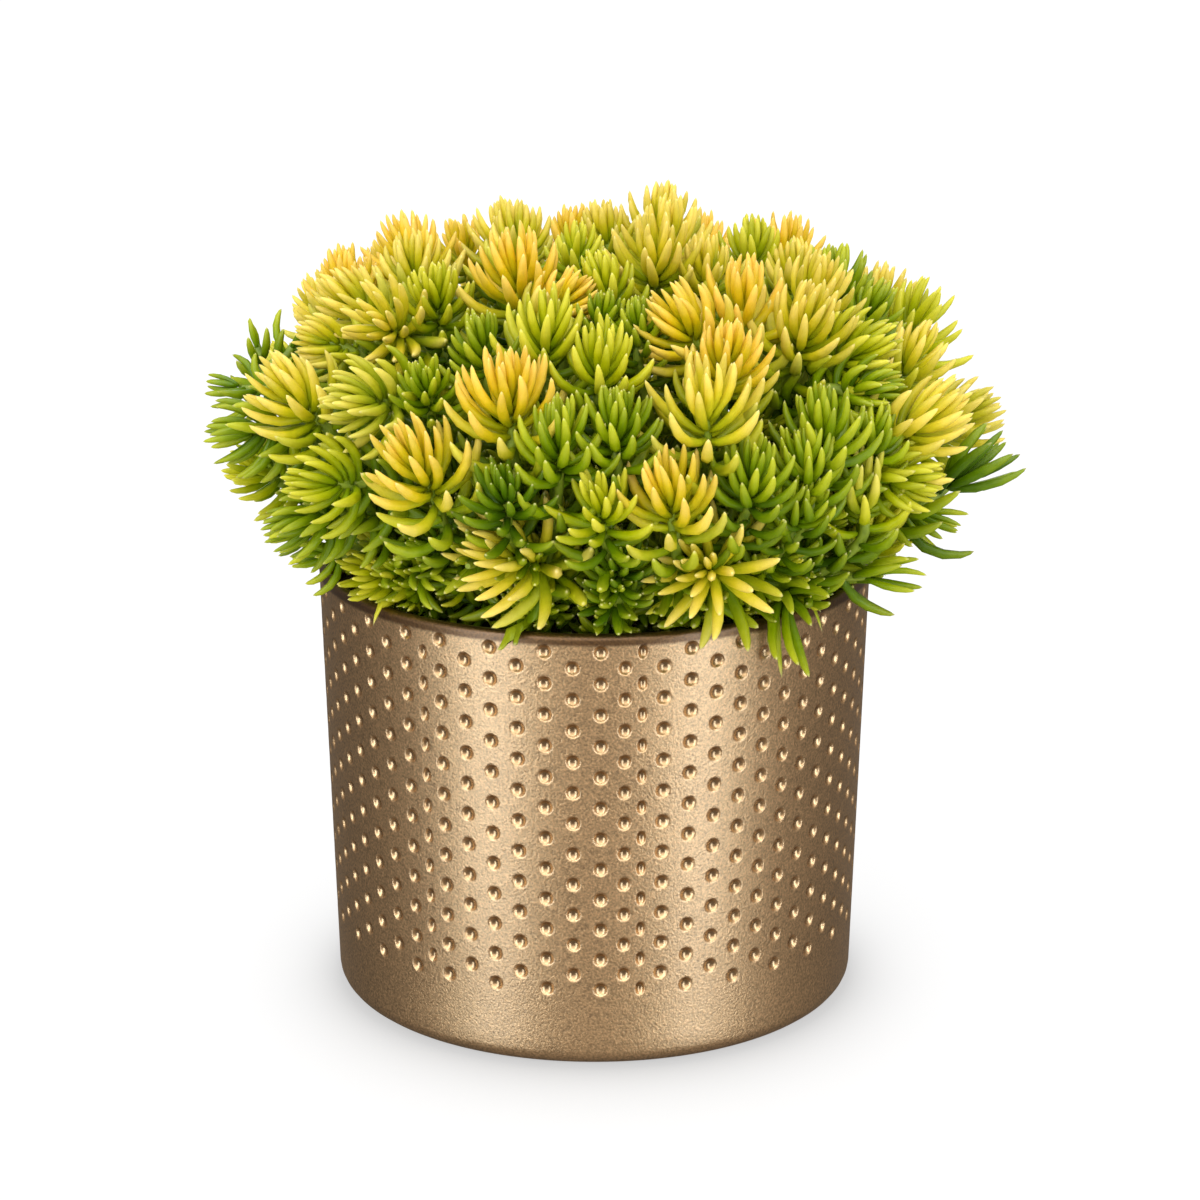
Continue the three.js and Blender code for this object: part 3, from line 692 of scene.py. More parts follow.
def metalSurface(net):
    position = net.surfacePlace()
    dent = net.attribute("dent")
    grain = net.noise(position, potPaint["grainScale"], 3)
    cloud = net.noise(position, potPaint["cloudScale"], 4)
    plain = 1 - net.ease(dent, 0.05, 0.6)
    # painted shade: the deeper a place sinks into a dimple, the more of the darker brown it takes
    dimpleShade = net.ease(dent, 0.2, 1, 0, potPaint["dimpleShadeShare"])
    tint = net.mixColours(dimpleShade, daylight(*potPaint["metal"]), daylight(*potPaint["dimpleShade"]))
    up = net.split(position)[2]
    # painted shade of the leaves on the lip: darker brown from the lower height upwards
    lip = net.ease(up, potPaint["shadeOnLipFrom"] * mm, potPaint["shadeOnLipFull"] * mm, 0, potPaint["shadeOnLipShare"])
    tint = net.mixColours(lip, tint, daylight(*potPaint["lip"]))
    shade = 1 + (grain - 0.5) * potPaint["grainShade"] * plain + (cloud - 0.5) * potPaint["cloudShade"]
    rough = net.mixNumbers(plain, potPaint["hollowRoughness"], potPaint["roughness"])
    rough = rough + (grain - 0.5) * potPaint["grainGloss"]
    bump = net.bump(grain * plain, potPaint["grainRelief"], potPaint["grainDepth"])
    coat = net.mixNumbers(plain, potPaint["hollowCoat"], potPaint["coat"])
    inputs = {"Base Color": tint * shade, "Metallic": 1, "Roughness": rough, "Normal": bump}
    inputs |= {"Coat Weight": coat, "Coat Roughness": 0.34, "Coat IOR": 1.5}
    return net.surface(inputs)


# An earthy or fleshy skin: cells and soft noise that colour it and raise it
def mottledSurface(net, look):
    position = net.surfacePlace()
    inputs = {"Vector": position, "Scale": look["cellScale"]}
    cells = net.add("ShaderNodeTexVoronoi", {}, inputs, "Distance")
    broad = net.noise(position, look["noiseScale"], look["noiseDetail"])
    stops = [(place, daylight(*colour)) for place, colour in look["colours"].items()]
    tint = net.ramp(stops, broad * 0.7 + cells * look["cellShare"])
    rough = look["roughness"] + (broad - 0.5) * look["roughnessDrift"]
    bump = net.bump(cells + broad, look["relief"], look["reliefDepth"])
    return net.surface({"Base Color": tint, "Roughness": rough, "Normal": bump})


# The pot. Its wall is a flat sheet of tiles, one dimple each, that is rolled up onto the cone.
# In "squeezed" stand the numbers of the narrow columns and their widths beside a common column.
dimples = {
    "columns": 66,
    "rows": 23,
    "firstHeight": 18.9,
    "halfPitch": 3.58,
    "radius": 1.62,
    "depth": 0.9,
    "narrowShare": 0.71,
    "seamAngle": 9.5,
    "squeezed": {0: 0.53, 65: 0.72, 57: 0.53},
    "topOfTiles": 100.2,
    "easeTopFrom": 99.4,
    "weldDistance": 0.03,
}
# where the smooth parts of the pot have rings of points: heights on the wall, radii on the flats
potRings = {"underside": (20, 45), "foot": (7, 11), "inside": (95, 88, 60, 30), "floor": (40, 15)}
quarters = [-0.5, -0.25, 0, 0.25, 0.5]
tileBorder = 16


def wallRadius(height):
    return potSize["baseRadius"] + (potSize["rimRadius"] - potSize["baseRadius"]) * height / potSize["height"]


# the middle and width of each column of dimples, in radians to the right of the viewer's side
def columnPlaces():
    count = dimples["columns"]
    shares = [dimples["squeezed"].get(k, 1) for k in range(count)]
    widths = [2 * math.pi * share / sum(shares) for share in shares]
    middles = []
    edge = math.radians(dimples["seamAngle"]) - widths[0] / 2
    for width in widths:
        middles.append(edge + width / 2)
        edge += width
    return middles, widths


# A tile one column wide and one pitch high: a border, and inside it rings that sink into the dimple
def dimpleTile(name, dimpleShare):
    border = [(u, -0.5) for u in quarters[:-1]] + [(0.5, v) for v in quarters[:-1]]
    border += [(-u, 0.5) for u in quarters[:-1]] + [(-0.5, -v) for v in quarters[:-1]]
    acrossReach = dimpleShare / 2
    upReach = dimples["radius"] / (2 * dimples["halfPitch"])
    profile = [(1.3, 0.0), (1.13, 0.0), (1.0, 0.08), (0.88, 0.28), (0.64, 0.66), (0.33, 0.93)]
    points = [(u, v, 0) for u, v in border]
    sunk = [0] * tileBorder
    for reach, depth in profile:
        for u, v in border:
            angle = math.atan2(v / upReach * 0.5, u / acrossReach * 0.5)
            points.append((acrossReach * reach * math.cos(angle), upReach * reach * math.sin(angle), -depth))
            sunk.append(depth)
    points.append((0, 0, -1))
    sunk.append(1)
    rings = len(profile) + 1
    faces = ringFaces(0, tileBorder, rings) + fanFaces(rings * tileBorder, (rings - 1) * tileBorder, tileBorder)
    tile = blank(name, meshFrom(name, points, faces))
    storeAttribute(tile, "dent", sunk)
    return tile


def plainTile(name):
    points = [(u, v, 0) for v in (-0.25, 0, 0.25) for u in quarters]
    faces = [(a, a + 1, a + 6, a + 5) for row in (0, 5) for a in range(row, row + 4)]
    return blank(name, meshFrom(name, points, faces))


# points along a quarter turn round an edge, as a share of its radius: how far in, and how far down
def roundEdge(degrees):
    return [(1 - math.cos(math.radians(d)), 1 - math.sin(math.radians(d))) for d in degrees]


# the rest of the pot, turned round its axis: foot and underside, and the lip, the inside and the floor
def potRest(middles, widths):
    angles = [middle + width * u for middle, width in zip(middles, widths) for u in quarters[:-1]]
    count = len(angles)
    firstTile = dimples["firstHeight"] - dimples["halfPitch"]
    corner, lip, small = potSize["footCorner"], potSize["lipRounding"], potSize["innerRounding"]
    height, wall, floor = potSize["height"], potSize["wallThickness"], potSize["floorThickness"]
    under = [(radius, 0) for radius in (*potRings["underside"], potSize["baseRadius"] - corner)]
    for rise, inset in roundEdge((15, 30, 45, 60, 75, 90)):
        under.append((wallRadius(corner * rise) - corner * inset, corner * rise))
    under += [(wallRadius(z), z) for z in (*potRings["foot"], firstTile)]
    over = [(wallRadius(dimples["topOfTiles"]), dimples["topOfTiles"])]
    for inset, drop in roundEdge((20, 45, 70, 90)):
        over.append((wallRadius(height - lip * drop) - lip * inset, height - lip * drop))
    for inset, drop in roundEdge((90, 45, 0)):
        over.append((potSize["rimRadius"] - wall + small * inset, height - small * drop))
    over += [(wallRadius(z) - wall, z) for z in (*potRings["inside"], floor + 1)]
    over += [(radius, floor) for radius in (wallRadius(floor) - wall - 1, *potRings["floor"])]
    points, faces = [], []
    for profile, poleHeight, isUnder in ((under, 0, True), (over, floor, False)):
        first = len(points)
        for radius, z in profile:
            points += [(radius * math.sin(a), -radius * math.cos(a), z) for a in angles]
        faces += ringFaces(first, count, len(profile))
        edge = first if isUnder else len(points) - count
        faces += fanFaces(len(points), edge, count, isUnder)
        points.append((0, 0, poleHeight))
    return meshFrom("pot", [Vector(p) * mm for p in points], faces)


# tiles on their places in the sheet, rolled up and joined to the rest of the pot
def wallTree(net, size, sheet, templates, paint):
    tileSize = net.join(net.named("columnWidth"), size["halfPitch"] * 2, size["depth"])
    parts = []
    for kind, template in enumerate(templates):
        inputs = {"Selection": net.test("EQUAL", net.named("kind"), kind, 0.1), "Scale": tileSize}
        parts.append(net.strew(net.shapeOf(sheet), net.shapeOf(template), inputs))
    tiles = net.add("GeometryNodeJoinGeometry", {}, {0: parts})
    tiles = net.add("GeometryNodeRealizeInstances", {}, {0: tiles})
    angle, height, sink = net.split(net.add("GeometryNodeInputPosition"))
    tilesTop = (dimples["firstHeight"] + dimples["rows"] * dimples["halfPitch"]) * mm
    easeFrom = size["easeTopFrom"]
    eased = net.ease(height, easeFrom, tilesTop, 0, size["topOfTiles"] - easeFrom, False)
    height = net.sum("MINIMUM", height, easeFrom) + eased
    radius = size["baseRadius"] + height * size["taper"] + sink
    rolled = net.join(radius * net.sum("SINE", angle), radius * net.sum("COSINE", angle) * -1, height)
    whole = net.add("GeometryNodeJoinGeometry", {}, {0: [net.move(tiles, rolled), size["Geometry"]]})
    whole = net.add("GeometryNodeMergeByDistance", {}, {0: whole, "Distance": size["weldDistance"]})
    return net.finishMesh(whole, paint)


def makePot(paint):
    middles, widths = columnPlaces()
    spots, kinds, columnWidths = [], [], []
    for k, (middle, width) in enumerate(zip(middles, widths)):
        isOdd = k % 2
        tiles = [(row, int(k in dimples["squeezed"])) for row in range(isOdd, dimples["rows"], 2)]
        if isOdd:
            tiles += [(-0.5, 2), (dimples["rows"] - 0.5, 2)]
        for row, kind in tiles:
            spots.append((middle, (dimples["firstHeight"] + row * dimples["halfPitch"]) * mm, 0))
            kinds.append(kind)
            columnWidths.append(width)
    sheet = blank("potSheet", meshFrom("potSheet", spots, []))
    storeAttribute(sheet, "kind", kinds)
    storeAttribute(sheet, "columnWidth", columnWidths)
    regularWidth = max(widths) * wallRadius(60)
    templates = [
        dimpleTile("tileWide", 2 * dimples["radius"] / regularWidth),
        dimpleTile("tileNarrow", dimples["narrowShare"]),
        plainTile("tilePlain"),
    ]
    titles = ("halfPitch", "depth", "topOfTiles", "easeTopFrom", "weldDistance")
    sizes = {title: dimples[title] * mm for title in titles}
    sizes["baseRadius"] = potSize["baseRadius"] * mm
    sizes["taper"] = (potSize["rimRadius"] - potSize["baseRadius"]) / potSize["height"]
    pot = blank("pot_metal", potRest(middles, widths))
    grow(pot, "dimpledWall", sizes, wallTree, sheet, templates, paint)
    for template in [sheet, *templates]:
        bpy.data.objects.remove(template)
    return pot


pot = makePot(material("dimpledMetal", metalSurface))
print("pot made:", trianglesOf(pot), "triangles")


# The leaves: one smooth finger, drawn out along an arc on every head by the same rule. The first leaves sit
# on the stem, the next ones round the head, and the last ones in its crown. Places and lengths are in
# millimetres, and a leaf's start and end are degrees away from the head's axis.
leaves = {
    "leavesPerHead": 44,
    "stemShare": 0.32,
    "lowestRoot": -17.0,
    "firstRoot": -2.0,
    "crownRoot": 5.0,
    "stemLength": 11.0,
    "outerLength": 13.0,
    "crownLength": 8.8,
    "outerStart": 99.0,
    "crownStart": 18.0,
    "outerEnd": 14.0,
    "crownEnd": -7.0,
    "openEnd": 42.0,
    "leafRadius": 1.2,
    "crownGirth": 0.66,
    "flatness": 0.86,
    "stemTone": 0.1,
    "seed": 11,
}
# how the rule changes from the outer leaves to the crown
leafShape = {
    "lengthPower": 1.3,
    "leanPower": 0.9,
    "crownClosing": 0.8,
    "leastBend": 0.05,
    "outerGap": 0.9,
    "crownGap": 0.35,
    "girthOfStretch": 0.3,
    "headTurn": 40,
    "anySide": (0.36, -0.48, 0.8),
}
# how much single leaves differ: start and end in degrees, spin in radians, the others as shares
leafLuck = {"spin": 0.16, "length": 0.09, "start": 7, "end": 8, "aside": 0.13, "girth": 0.12, "tone": 0.08}
# millimetres that leaves keep above and beside the middle of the lip, and how steeply they come down from it
lipRoom = {"above": 1.2, "beside": 3.2, "slope": 3}


# A finger along its own arc: the attribute "section" holds the place round and along it
def leafTemplate():
    sides = 6
    rings = [(0, 0.6), (0.16, 0.78), (0.4, 1.0), (0.63, 0.94), (0.83, 0.7), (0.945, 0.39)]
    points = [(0, 0, 0)]
    for t, width in rings:
        for k in range(sides):
            angle = 2 * math.pi * (k + 0.5) / sides
            points.append((width * math.cos(angle), width * math.sin(angle), t))
    tip = len(points)
    points.append((0, 0, 1))
    faces = fanFaces(0, 1, sides, True) + ringFaces(1, sides, len(rings)) + fanFaces(tip, tip - sides, sides)
    template = blank("leafFinger", meshFrom("leafFinger", points, faces))
    storeAttribute(template, "section", points)
    storeAttribute(template, "along", [p[2] for p in points])
    return template


def leafTree(net, size, template, paint):
    degree = math.pi / 180
    inputs = {"Geometry": size["Geometry"], "Amount": size["leavesPerHead"]}
    geometry = net.add("GeometryNodeDuplicateElements", {"domain": "POINT"}, inputs)
    turn = geometry.also("Duplicate Index")
    seed = size["seed"]
    spin = turn * goldenAngle + net.named("headLuck") * leafShape["headTurn"]
    spin = spin + net.chance(-leafLuck["spin"], leafLuck["spin"], seed)
    geometry = net.keep(
        geometry,
        share=turn / (size["leavesPerHead"] - 1),
        spin=spin,
        heart=net.add("GeometryNodeInputPosition"),
        luck=net.chance(0, 1, seed + 1),
        stray=net.chance(-1, 1, seed + 2),
        sway=net.chance(-1, 1, seed + 3),
    )
    isSpare = net.test("GREATER_THAN", net.chance(0, 1, seed + 4), net.named("fullness"))
    inputs = {"Geometry": geometry, "Selection": isSpare}
    geometry = net.add("GeometryNodeDeleteGeometry", {"domain": "POINT"}, inputs)
    geometry = net.strew(geometry, net.shapeOf(template))
    geometry = net.add("GeometryNodeRealizeInstances", {}, {0: geometry})

    share, luck, stray, sway = (net.named(title) for title in ("share", "luck", "stray", "sway"))
    girth, stretch, neck, spin = (net.named(title) for title in ("size", "stretch", "neck", "spin"))
    vectors = ("axis", "down", "heart", "section")
    axis, down, heart, section = (net.named(title, "FLOAT_VECTOR") for title in vectors)
    stem = size["stemShare"]
    inHead = net.ease(share, stem, 1, 0, 1, False)
    rise = net.ease(share, 0, stem, size["lowestRoot"], size["firstRoot"], False)
    rise = (rise + inHead * (size["crownRoot"] - size["firstRoot"])) * girth * mm
    length = net.ease(share, 0, stem, size["stemLength"], size["outerLength"], False)
    shorter = net.sum("POWER", inHead, leafShape["lengthPower"])
    length = length + (size["crownLength"] - size["outerLength"]) * shorter
    length = length * girth * stretch * (1 + stray * leafLuck["length"]) * mm
    lean = net.sum("POWER", inHead, leafShape["leanPower"])
    start = net.mixNumbers(lean, size["outerStart"], size["crownStart"]) + stray * leafLuck["start"]
    end = net.mixNumbers(lean, size["outerEnd"], size["crownEnd"]) + sway * leafLuck["end"]
    end = end + net.named("open") * size["openEnd"] * (1 - inHead * leafShape["crownClosing"])
    bend = net.sum("MINIMUM", (end - start) * degree, -leafShape["leastBend"])
    start = start * degree

    # the leaf's own directions: out from the axis, and aside
    spare = net.vectorSum("NORMALIZE", net.vectorSum("CROSS_PRODUCT", axis, leafShape["anySide"]))
    other = net.vectorSum("CROSS_PRODUCT", axis, spare)
    out = spare * net.sum("COSINE", spin) + other * net.sum("SINE", spin)
    aside = net.vectorSum("CROSS_PRODUCT", axis, out)

    # the arc from the stem outwards, and the leaf's thickness round it
    x, y, t = net.split(section)
    now = start + bend * t
    upward = (net.sum("SINE", now) - net.sum("SINE", start)) / bend
    outward = (net.sum("COSINE", start) - net.sum("COSINE", now)) / bend
    place = heart + axis * net.sum("MAXIMUM", rise, -neck)
    place = place + down * net.sum("MINIMUM", rise + neck, 0)
    rootGap = net.mixNumbers(inHead, leafShape["outerGap"], leafShape["crownGap"]) * girth * mm
    place = place + out * (rootGap + length * outward) + axis * (length * upward)
    place = place + aside * (length * t * t * sway * leafLuck["aside"])
    thick = size["leafRadius"] * net.mixNumbers(inHead, 1, size["crownGirth"])
    thick = thick * net.sum("POWER", girth, 0.5) * (1 + luck * leafLuck["girth"])
    thick = thick * (1 - leafShape["girthOfStretch"] + stretch * leafShape["girthOfStretch"]) * mm
    inPlane = out * net.sum("COSINE", now) - axis * net.sum("SINE", now)
    place = place + aside * (x * thick) + inPlane * (y * thick * size["flatness"])

    # a leaf that would run into the pot's lip rides over it, and none goes down into the soil
    px, py, pz = net.split(place)
    reach = net.sum("SQRT", px * px + py * py)
    rimMiddle = (potSize["rimRadius"] - potSize["wallThickness"] / 2) * mm
    offRim = net.sum("ABSOLUTE", reach - rimMiddle)
    ridge = size["rimHeight"] + (size["rimRoom"] - offRim) * lipRoom["slope"]
    ridge = net.sum("SMOOTH_MIN", ridge, size["rimHeight"], 0.003) + y * thick
    bed = net.ease(reach, rimMiddle - 0.001, rimMiddle, size["soilHeight"], 0, False)
    pz = net.sum("MAXIMUM", net.sum("SMOOTH_MAX", pz, ridge, 0.002), bed)
    tone = net.mixNumbers(net.ease(share, 0.1, 0.5), size["stemTone"], net.named("headTone"))
    tone = tone + (luck - 0.5) * leafLuck["tone"]
    geometry = net.keep(net.move(geometry, net.join(px, py, pz)), tone=tone)
    return net.finishMesh(geometry, paint)


# Heads that differ from the rest, by number: the share of their leaves that is left, how much longer the
# leaves are, how many millimetres the head stands out along its own axis, and how many it is raised
sprigs = {
    5: (0.3, 1.2, 0, 0),
    6: (0.25, 1.35, 0, 0),
    8: (0.35, 1.05, 2, 0),
    9: (0.85, 1.1, 2, 0),
    13: (0.45, 1.3, 0, 0),
    40: (0.42, 1.35, 0, 0),
    41: (0.4, 1.2, 0, 0),
    52: (0.4, 1.3, 0, 0),
    53: (0.6, 1.15, -2, 0),
    54: (1.0, 1.04, 5, 0),
    55: (0.4, 2.0, 0, 0),
    58: (1.0, 1.0, 7, 4),
    65: (0.45, 1.1, -5, 0),
    90: (0.8, 0.8, -2, 0),
    97: (0.6, 0.7, -4, 1),
    106: (0.3, 0.7, -7, 0),
    110: (0.7, 0.85, -2, 0),
}

# What the other heads have in common
headRule = {
    "fullness": (0.84, 1.0),
    "hiddenFacing": (20, 55),
    "closedFacing": 36,
    "greenBelow": 40,
    "leastTone": 0.25,
}
# Small green side shoots inside the dome: on every shoot one low above the soil and one below the fork that
# leans inwards, and one under each head
sprouts = {
    "lowest": -2.0,
    "highest": 10.0,
    "smallest": 0.6,
    "largest": 0.85,
    "fullness": 0.5,
    "open": 0.2,
    "tone": (0.0, 0.3),
    "lowShare": (0.2, 0.9),
    "middleShare": (0.7, 1.0),
    "highShare": (0.0, 0.6),
    "lean": 48,
    "waywardness": 0.4,
    "upturn": 0.75,
    "neck": 3,
    "middleGrown": 1.35,
    "middleLean": -0.5,
    "seed": 305,
}
# what each head or side shoot has a value of, besides its place
pointTitles = ("axis", "down", "size", "headTone", "neck", "fullness", "stretch", "open")


# one row of values for each of a shoot's heads, the first one its place
def headPoints(k, draw):
    made = []
    for h in pairs[k]:
        axis = unit(heads[h]["heart"] - necks[h])
        tone = tones.index(heads[h]["tone"]) / (len(tones) - 1)
        fullness, stretch, lift, raised = sprigs.get(h, (draw(*headRule["fullness"]), 1.0, 0, 0))
        if h < len(seenHeads):
            facing = seenHeads[h][3]
        else:
            facing = draw(*headRule["hiddenFacing"])
            above = heads[h]["heart"][2] - potSize["height"]
            tone *= min(max(above / headRule["greenBelow"], headRule["leastTone"]), 1)
        closed = headRule["closedFacing"]
        openness = min(max((facing - closed) / closed, 0), 1)
        down, neck = unit(necks[h] - forks[k]), plant["neckLength"] * mm
        place = (heads[h]["heart"] + axis * lift + vec(0, 0, raised)) * mm
        made.append((place, axis, down, heads[h]["size"], tone, neck, fullness, stretch, openness))
    return made


def sproutPoint(start, end, share, draw, grown=1, lean=1):
    place = start + (end - start) * share
    away = vec(place[0], place[1], 0) * (lean / sprouts["lean"])
    stray = sprouts["waywardness"]
    axis = unit(away + vec(draw(-stray, stray), draw(-stray, stray), sprouts["upturn"]))
    size, tone = draw(sprouts["smallest"], sprouts["largest"]) * grown, draw(*sprouts["tone"])
    place, neck = (place + axis * sprouts["neck"]) * mm, sprouts["neck"] * mm
    return place, axis, unit(end - start), size, tone, neck, sprouts["fullness"], 1, sprouts["open"]


def lowSprouts(k, draw):
    root, fork = roots[k], forks[k]
    height = potSize["height"] + draw(sprouts["lowest"], sprouts["highest"])
    lowest, highest = sprouts["lowShare"]
    share = min(max((height - root[2]) / (fork[2] - root[2]), lowest), highest)
    return [sproutPoint(root, fork, share, draw)]


def middleSprouts(k, draw):
    share = draw(*sprouts["middleShare"])
    return [sproutPoint(roots[k], forks[k], share, draw, sprouts["middleGrown"], sprouts["middleLean"])]


def highSprouts(k, draw):
    return [sproutPoint(forks[k], necks[h], draw(*sprouts["highShare"]), draw) for h in pairs[k]]


def makeLeaves(name, shoots, pointsOf, paint, template):
    draw = Draw(sprouts["seed"])
    rows = [row for k in shoots for row in pointsOf(k, draw)]
    piece = blank(name, meshFrom(name, [row[0] for row in rows], []))
    for column, title in enumerate(pointTitles, 1):
        storeAttribute(piece, title, [row[column] for row in rows])
    storeAttribute(piece, "headLuck", [draw() for row in rows])
    numbers = dict(leaves)
    numbers["rimHeight"] = (potSize["height"] + lipRoom["above"]) * mm
    numbers["rimRoom"] = lipRoom["beside"] * mm
    numbers["soilHeight"] = (potSize["height"] - potSize["soilDepthBelowRim"] + 1) * mm
    piece = grow(piece, name + "_rule", numbers, leafTree, template, paint)
    # only what the paint reads is kept
    for title in (*pointTitles, "headLuck", "section", "heart", "spin", "share", "stray", "sway"):
        layer = piece.data.attributes.get(title)
        if layer:
            piece.data.attributes.remove(layer)
    return piece


# shoots with enough warm heads are one slot, and the rest are the other
warmth = dict(zip(tones, (0, 0.1, 0.4, 0.35, 0.7, 0.6, 0.9, 1)))
sunnyFrom = 0.42
isSunny = [sum(warmth[heads[h]["tone"]] for h in pair) / 2 > sunnyFrom for pair in pairs]
isFront = [forks[k][1] + heads[pair[0]]["heart"][1] < 0 for k, pair in enumerate(pairs)]
template = leafTemplate()
sunnyPaint = material("leafSunny", leafSurface, leafPaint["sunnyRoughness"])
greenPaint = material("leafGreen", leafSurface, leafPaint["greenRoughness"])
leafPieces = []
for sunny, front, name in (
    (True, True, "leaves_sunny_front"),
    (True, False, "leaves_sunny_back"),
    (False, True, "leaves_green_front"),
    (False, False, "leaves_green_back"),
):
    chosen = [k for k in range(len(pairs)) if isSunny[k] == sunny and isFront[k] == front]
    piece = makeLeaves(name, chosen, headPoints, sunnyPaint if sunny else greenPaint, template)
    leafPieces.append((piece, chosen, sunny))
    print(name, "on", len(chosen), "shoots:", trianglesOf(piece), "triangles")
everyShoot = range(len(pairs))
for name, pointsOf in (
    ("leaves_inner_low", lowSprouts),
    ("leaves_inner_middle", middleSprouts),
    ("leaves_inner_high", highSprouts),
):
    inner = makeLeaves(name, everyShoot, pointsOf, greenPaint, template)
    leafPieces.append((inner, everyShoot, False))
    print(name, "on every shoot:", trianglesOf(inner), "triangles")
bpy.data.objects.remove(template)


# The stems follow their paths from the soil up into the heads
stems = {"sides": 8, "step": 1.6, "crownReach": 4.5, "crownShare": 0.45, "thinning": 0.04}
stemLook = {
    "cellScale": 520,
    "cellShare": 0.4,
    "noiseScale": 300,
    "noiseDetail": 3,
    "colours": {0.25: (84, 112, 10), 0.55: (132, 152, 24), 0.8: (142, 162, 40)},
    "roughness": 0.6,
    "roughnessDrift": 0.3,
    "relief": 0.5,
    "reliefDepth": 0.0003,
}


def stemPaths():
    paths = []
    for k, (first, second) in enumerate(pairs):
        foot = roots[k] - vec(0, 0, plant["rootDepth"])
        collar = roots[k] + vec(0, 0, plant["collarHeight"])
        firstHeart, secondHeart = heads[first]["heart"], heads[second]["heart"]
        start = forks[k] + (necks[first] - forks[k]) * plant["branchStart"]
        main = [foot, collar, forks[k], necks[first], firstHeart]
        main.append(firstHeart + unit(firstHeart - necks[first]) * stems["crownReach"])
        side = branchPoints(start, necks[second], secondHeart)
        side.append(secondHeart + unit(secondHeart - necks[second]) * stems["crownReach"])
        paths.append((main, plant["stemRadius"]))
        paths.append((side, plant["branchRadius"]))
    return paths


def stemTree(net, size, paint):
    curve = net.add("GeometryNodeMeshToCurve", {}, {0: size["Geometry"]})
    curve = net.add("GeometryNodeCurveSplineType", {"spline_type": "CATMULL_ROM"}, {0: curve})
    inputs = {"Curve": curve, "Length": size["step"]}
    curve = net.add("GeometryNodeResampleCurve", {"mode": "LENGTH"}, inputs)
    inputs = {"Resolution": size["sides"], "Radius": 1.0}
    ring = net.add("GeometryNodeCurvePrimitiveCircle", {"mode": "RADIUS"}, inputs)
    inputs = {"Curve": curve, "Profile Curve": ring, "Fill Caps": True, "Scale": net.named("thickness")}
    tube = net.add("GeometryNodeCurveToMesh", {}, inputs)
    return net.finishMesh(tube, paint)


def makeStems(paint):
    points, edges, thickness = [], [], []
    for path, radius in stemPaths():
        for k, place in enumerate(path):
            if k:
                edges.append((len(points) - 1, len(points)))
            points.append(place * mm)
            isLast = k == len(path) - 1
            thickness.append(radius * mm * (stems["crownShare"] if isLast else 1 - stems["thinning"] * k))
    piece = blank("stems", meshFrom("stems", points, [], edges))
    storeAttribute(piece, "thickness", thickness)
    return grow(piece, "stemTubes", {"sides": stems["sides"], "step": stems["step"] * mm}, stemTree, paint)


stemPiece = makeStems(material("stemSkin", mottledSurface, stemLook))
print("stems made:", trianglesOf(stemPiece), "triangles")


# The soil: a plug with a lumpy top, and crumbs scattered on it
soilSizes = {
    "rings": 36,
    "around": 96,
    "lump": 0.9,
    "lumpSeed": 77,
    "gap": 0.6,
    "floorGap": 0.3,
    "crumbs": 520,
    "crumbSize": 0.9,
    "crumbStretch": ((0.5, 0.5, 0.4), (1.5, 1.2, 0.9)),
    "seed": 5,
}
soilLook = {
    "cellScale": 700,
    "cellShare": 0.6,
    "noiseScale": 130,
    "noiseDetail": 5,
    "colours": {0.3: (30, 22, 16), 0.55: (58, 43, 31), 0.8: (92, 72, 52)},
    "roughness": 0.92,
    "roughnessDrift": 0,
    "relief": 0.8,
    "reliefDepth": 0.0006,
}


def soilTree(net, size, paint):
    up = net.split(net.add("GeometryNodeInputNormal"))[2]
    inputs = {"Mesh": size["Geometry"], "Selection": net.test("GREATER_THAN", up, 0.4)}
    inputs |= {"Density": size["crumbDensity"], "Seed": size["seed"]}
    spots = net.add("GeometryNodeDistributePointsOnFaces", {"distribute_method": "RANDOM"}, inputs)
    crumb = net.add("GeometryNodeMeshIcoSphere", {}, {"Radius": size["crumbSize"], "Subdivisions": 1})
    least, most = soilSizes["crumbStretch"]
    inputs = {0: least, 1: most, 8: size["seed"] + 1}
    swell = net.add("FunctionNodeRandomValue", {"data_type": "FLOAT_VECTOR"}, inputs)
    crumbs = net.strew(spots, crumb, {"Scale": swell, "Rotation": spots.also("Rotation")})
    whole = net.add("GeometryNodeJoinGeometry", {}, {0: [size["Geometry"], crumbs]})
    return net.finishMesh(whole, paint)


def makeSoil(paint):
    top = potSize["height"] - potSize["soilDepthBelowRim"]
    bottom = potSize["floorThickness"] + soilSizes["floorGap"]
    rings, around = soilSizes["rings"], soilSizes["around"]
    inner = lambda z: wallRadius(z) - potSize["wallThickness"] - soilSizes["gap"]
    profile = [(inner(top) * (k + 1) / rings, top) for k in range(rings)] + [(inner(bottom), bottom)]
    draw = Draw(soilSizes["lumpSeed"])
    points = [(0, 0, top)]
    for radius, z in profile:
        for k in range(around):
            angle = 2 * math.pi * k / around
            wave = math.sin(angle * 7 + radius * 0.4) * math.cos(angle * 3 - radius * 0.23)
            lump = (draw() - 0.5 + wave / 2) * soilSizes["lump"] if z == top else 0
            points.append((radius * math.cos(angle), radius * math.sin(angle), z + lump))
    pole = len(points)
    points.append((0, 0, bottom))
    faces = fanFaces(0, 1, around) + ringFaces(1, around, len(profile), True)
    faces += fanFaces(pole, pole - around, around, True)
    piece = blank("soil_bed", meshFrom("soil_bed", [Vector(p) * mm for p in points], faces))
    sizes = {
        "crumbDensity": soilSizes["crumbs"] / (math.pi * (inner(top) * mm) ** 2),
        "crumbSize": soilSizes["crumbSize"] * mm,
        "seed": soilSizes["seed"],
    }
    return grow(piece, "crumbRule", sizes, soilTree, paint)


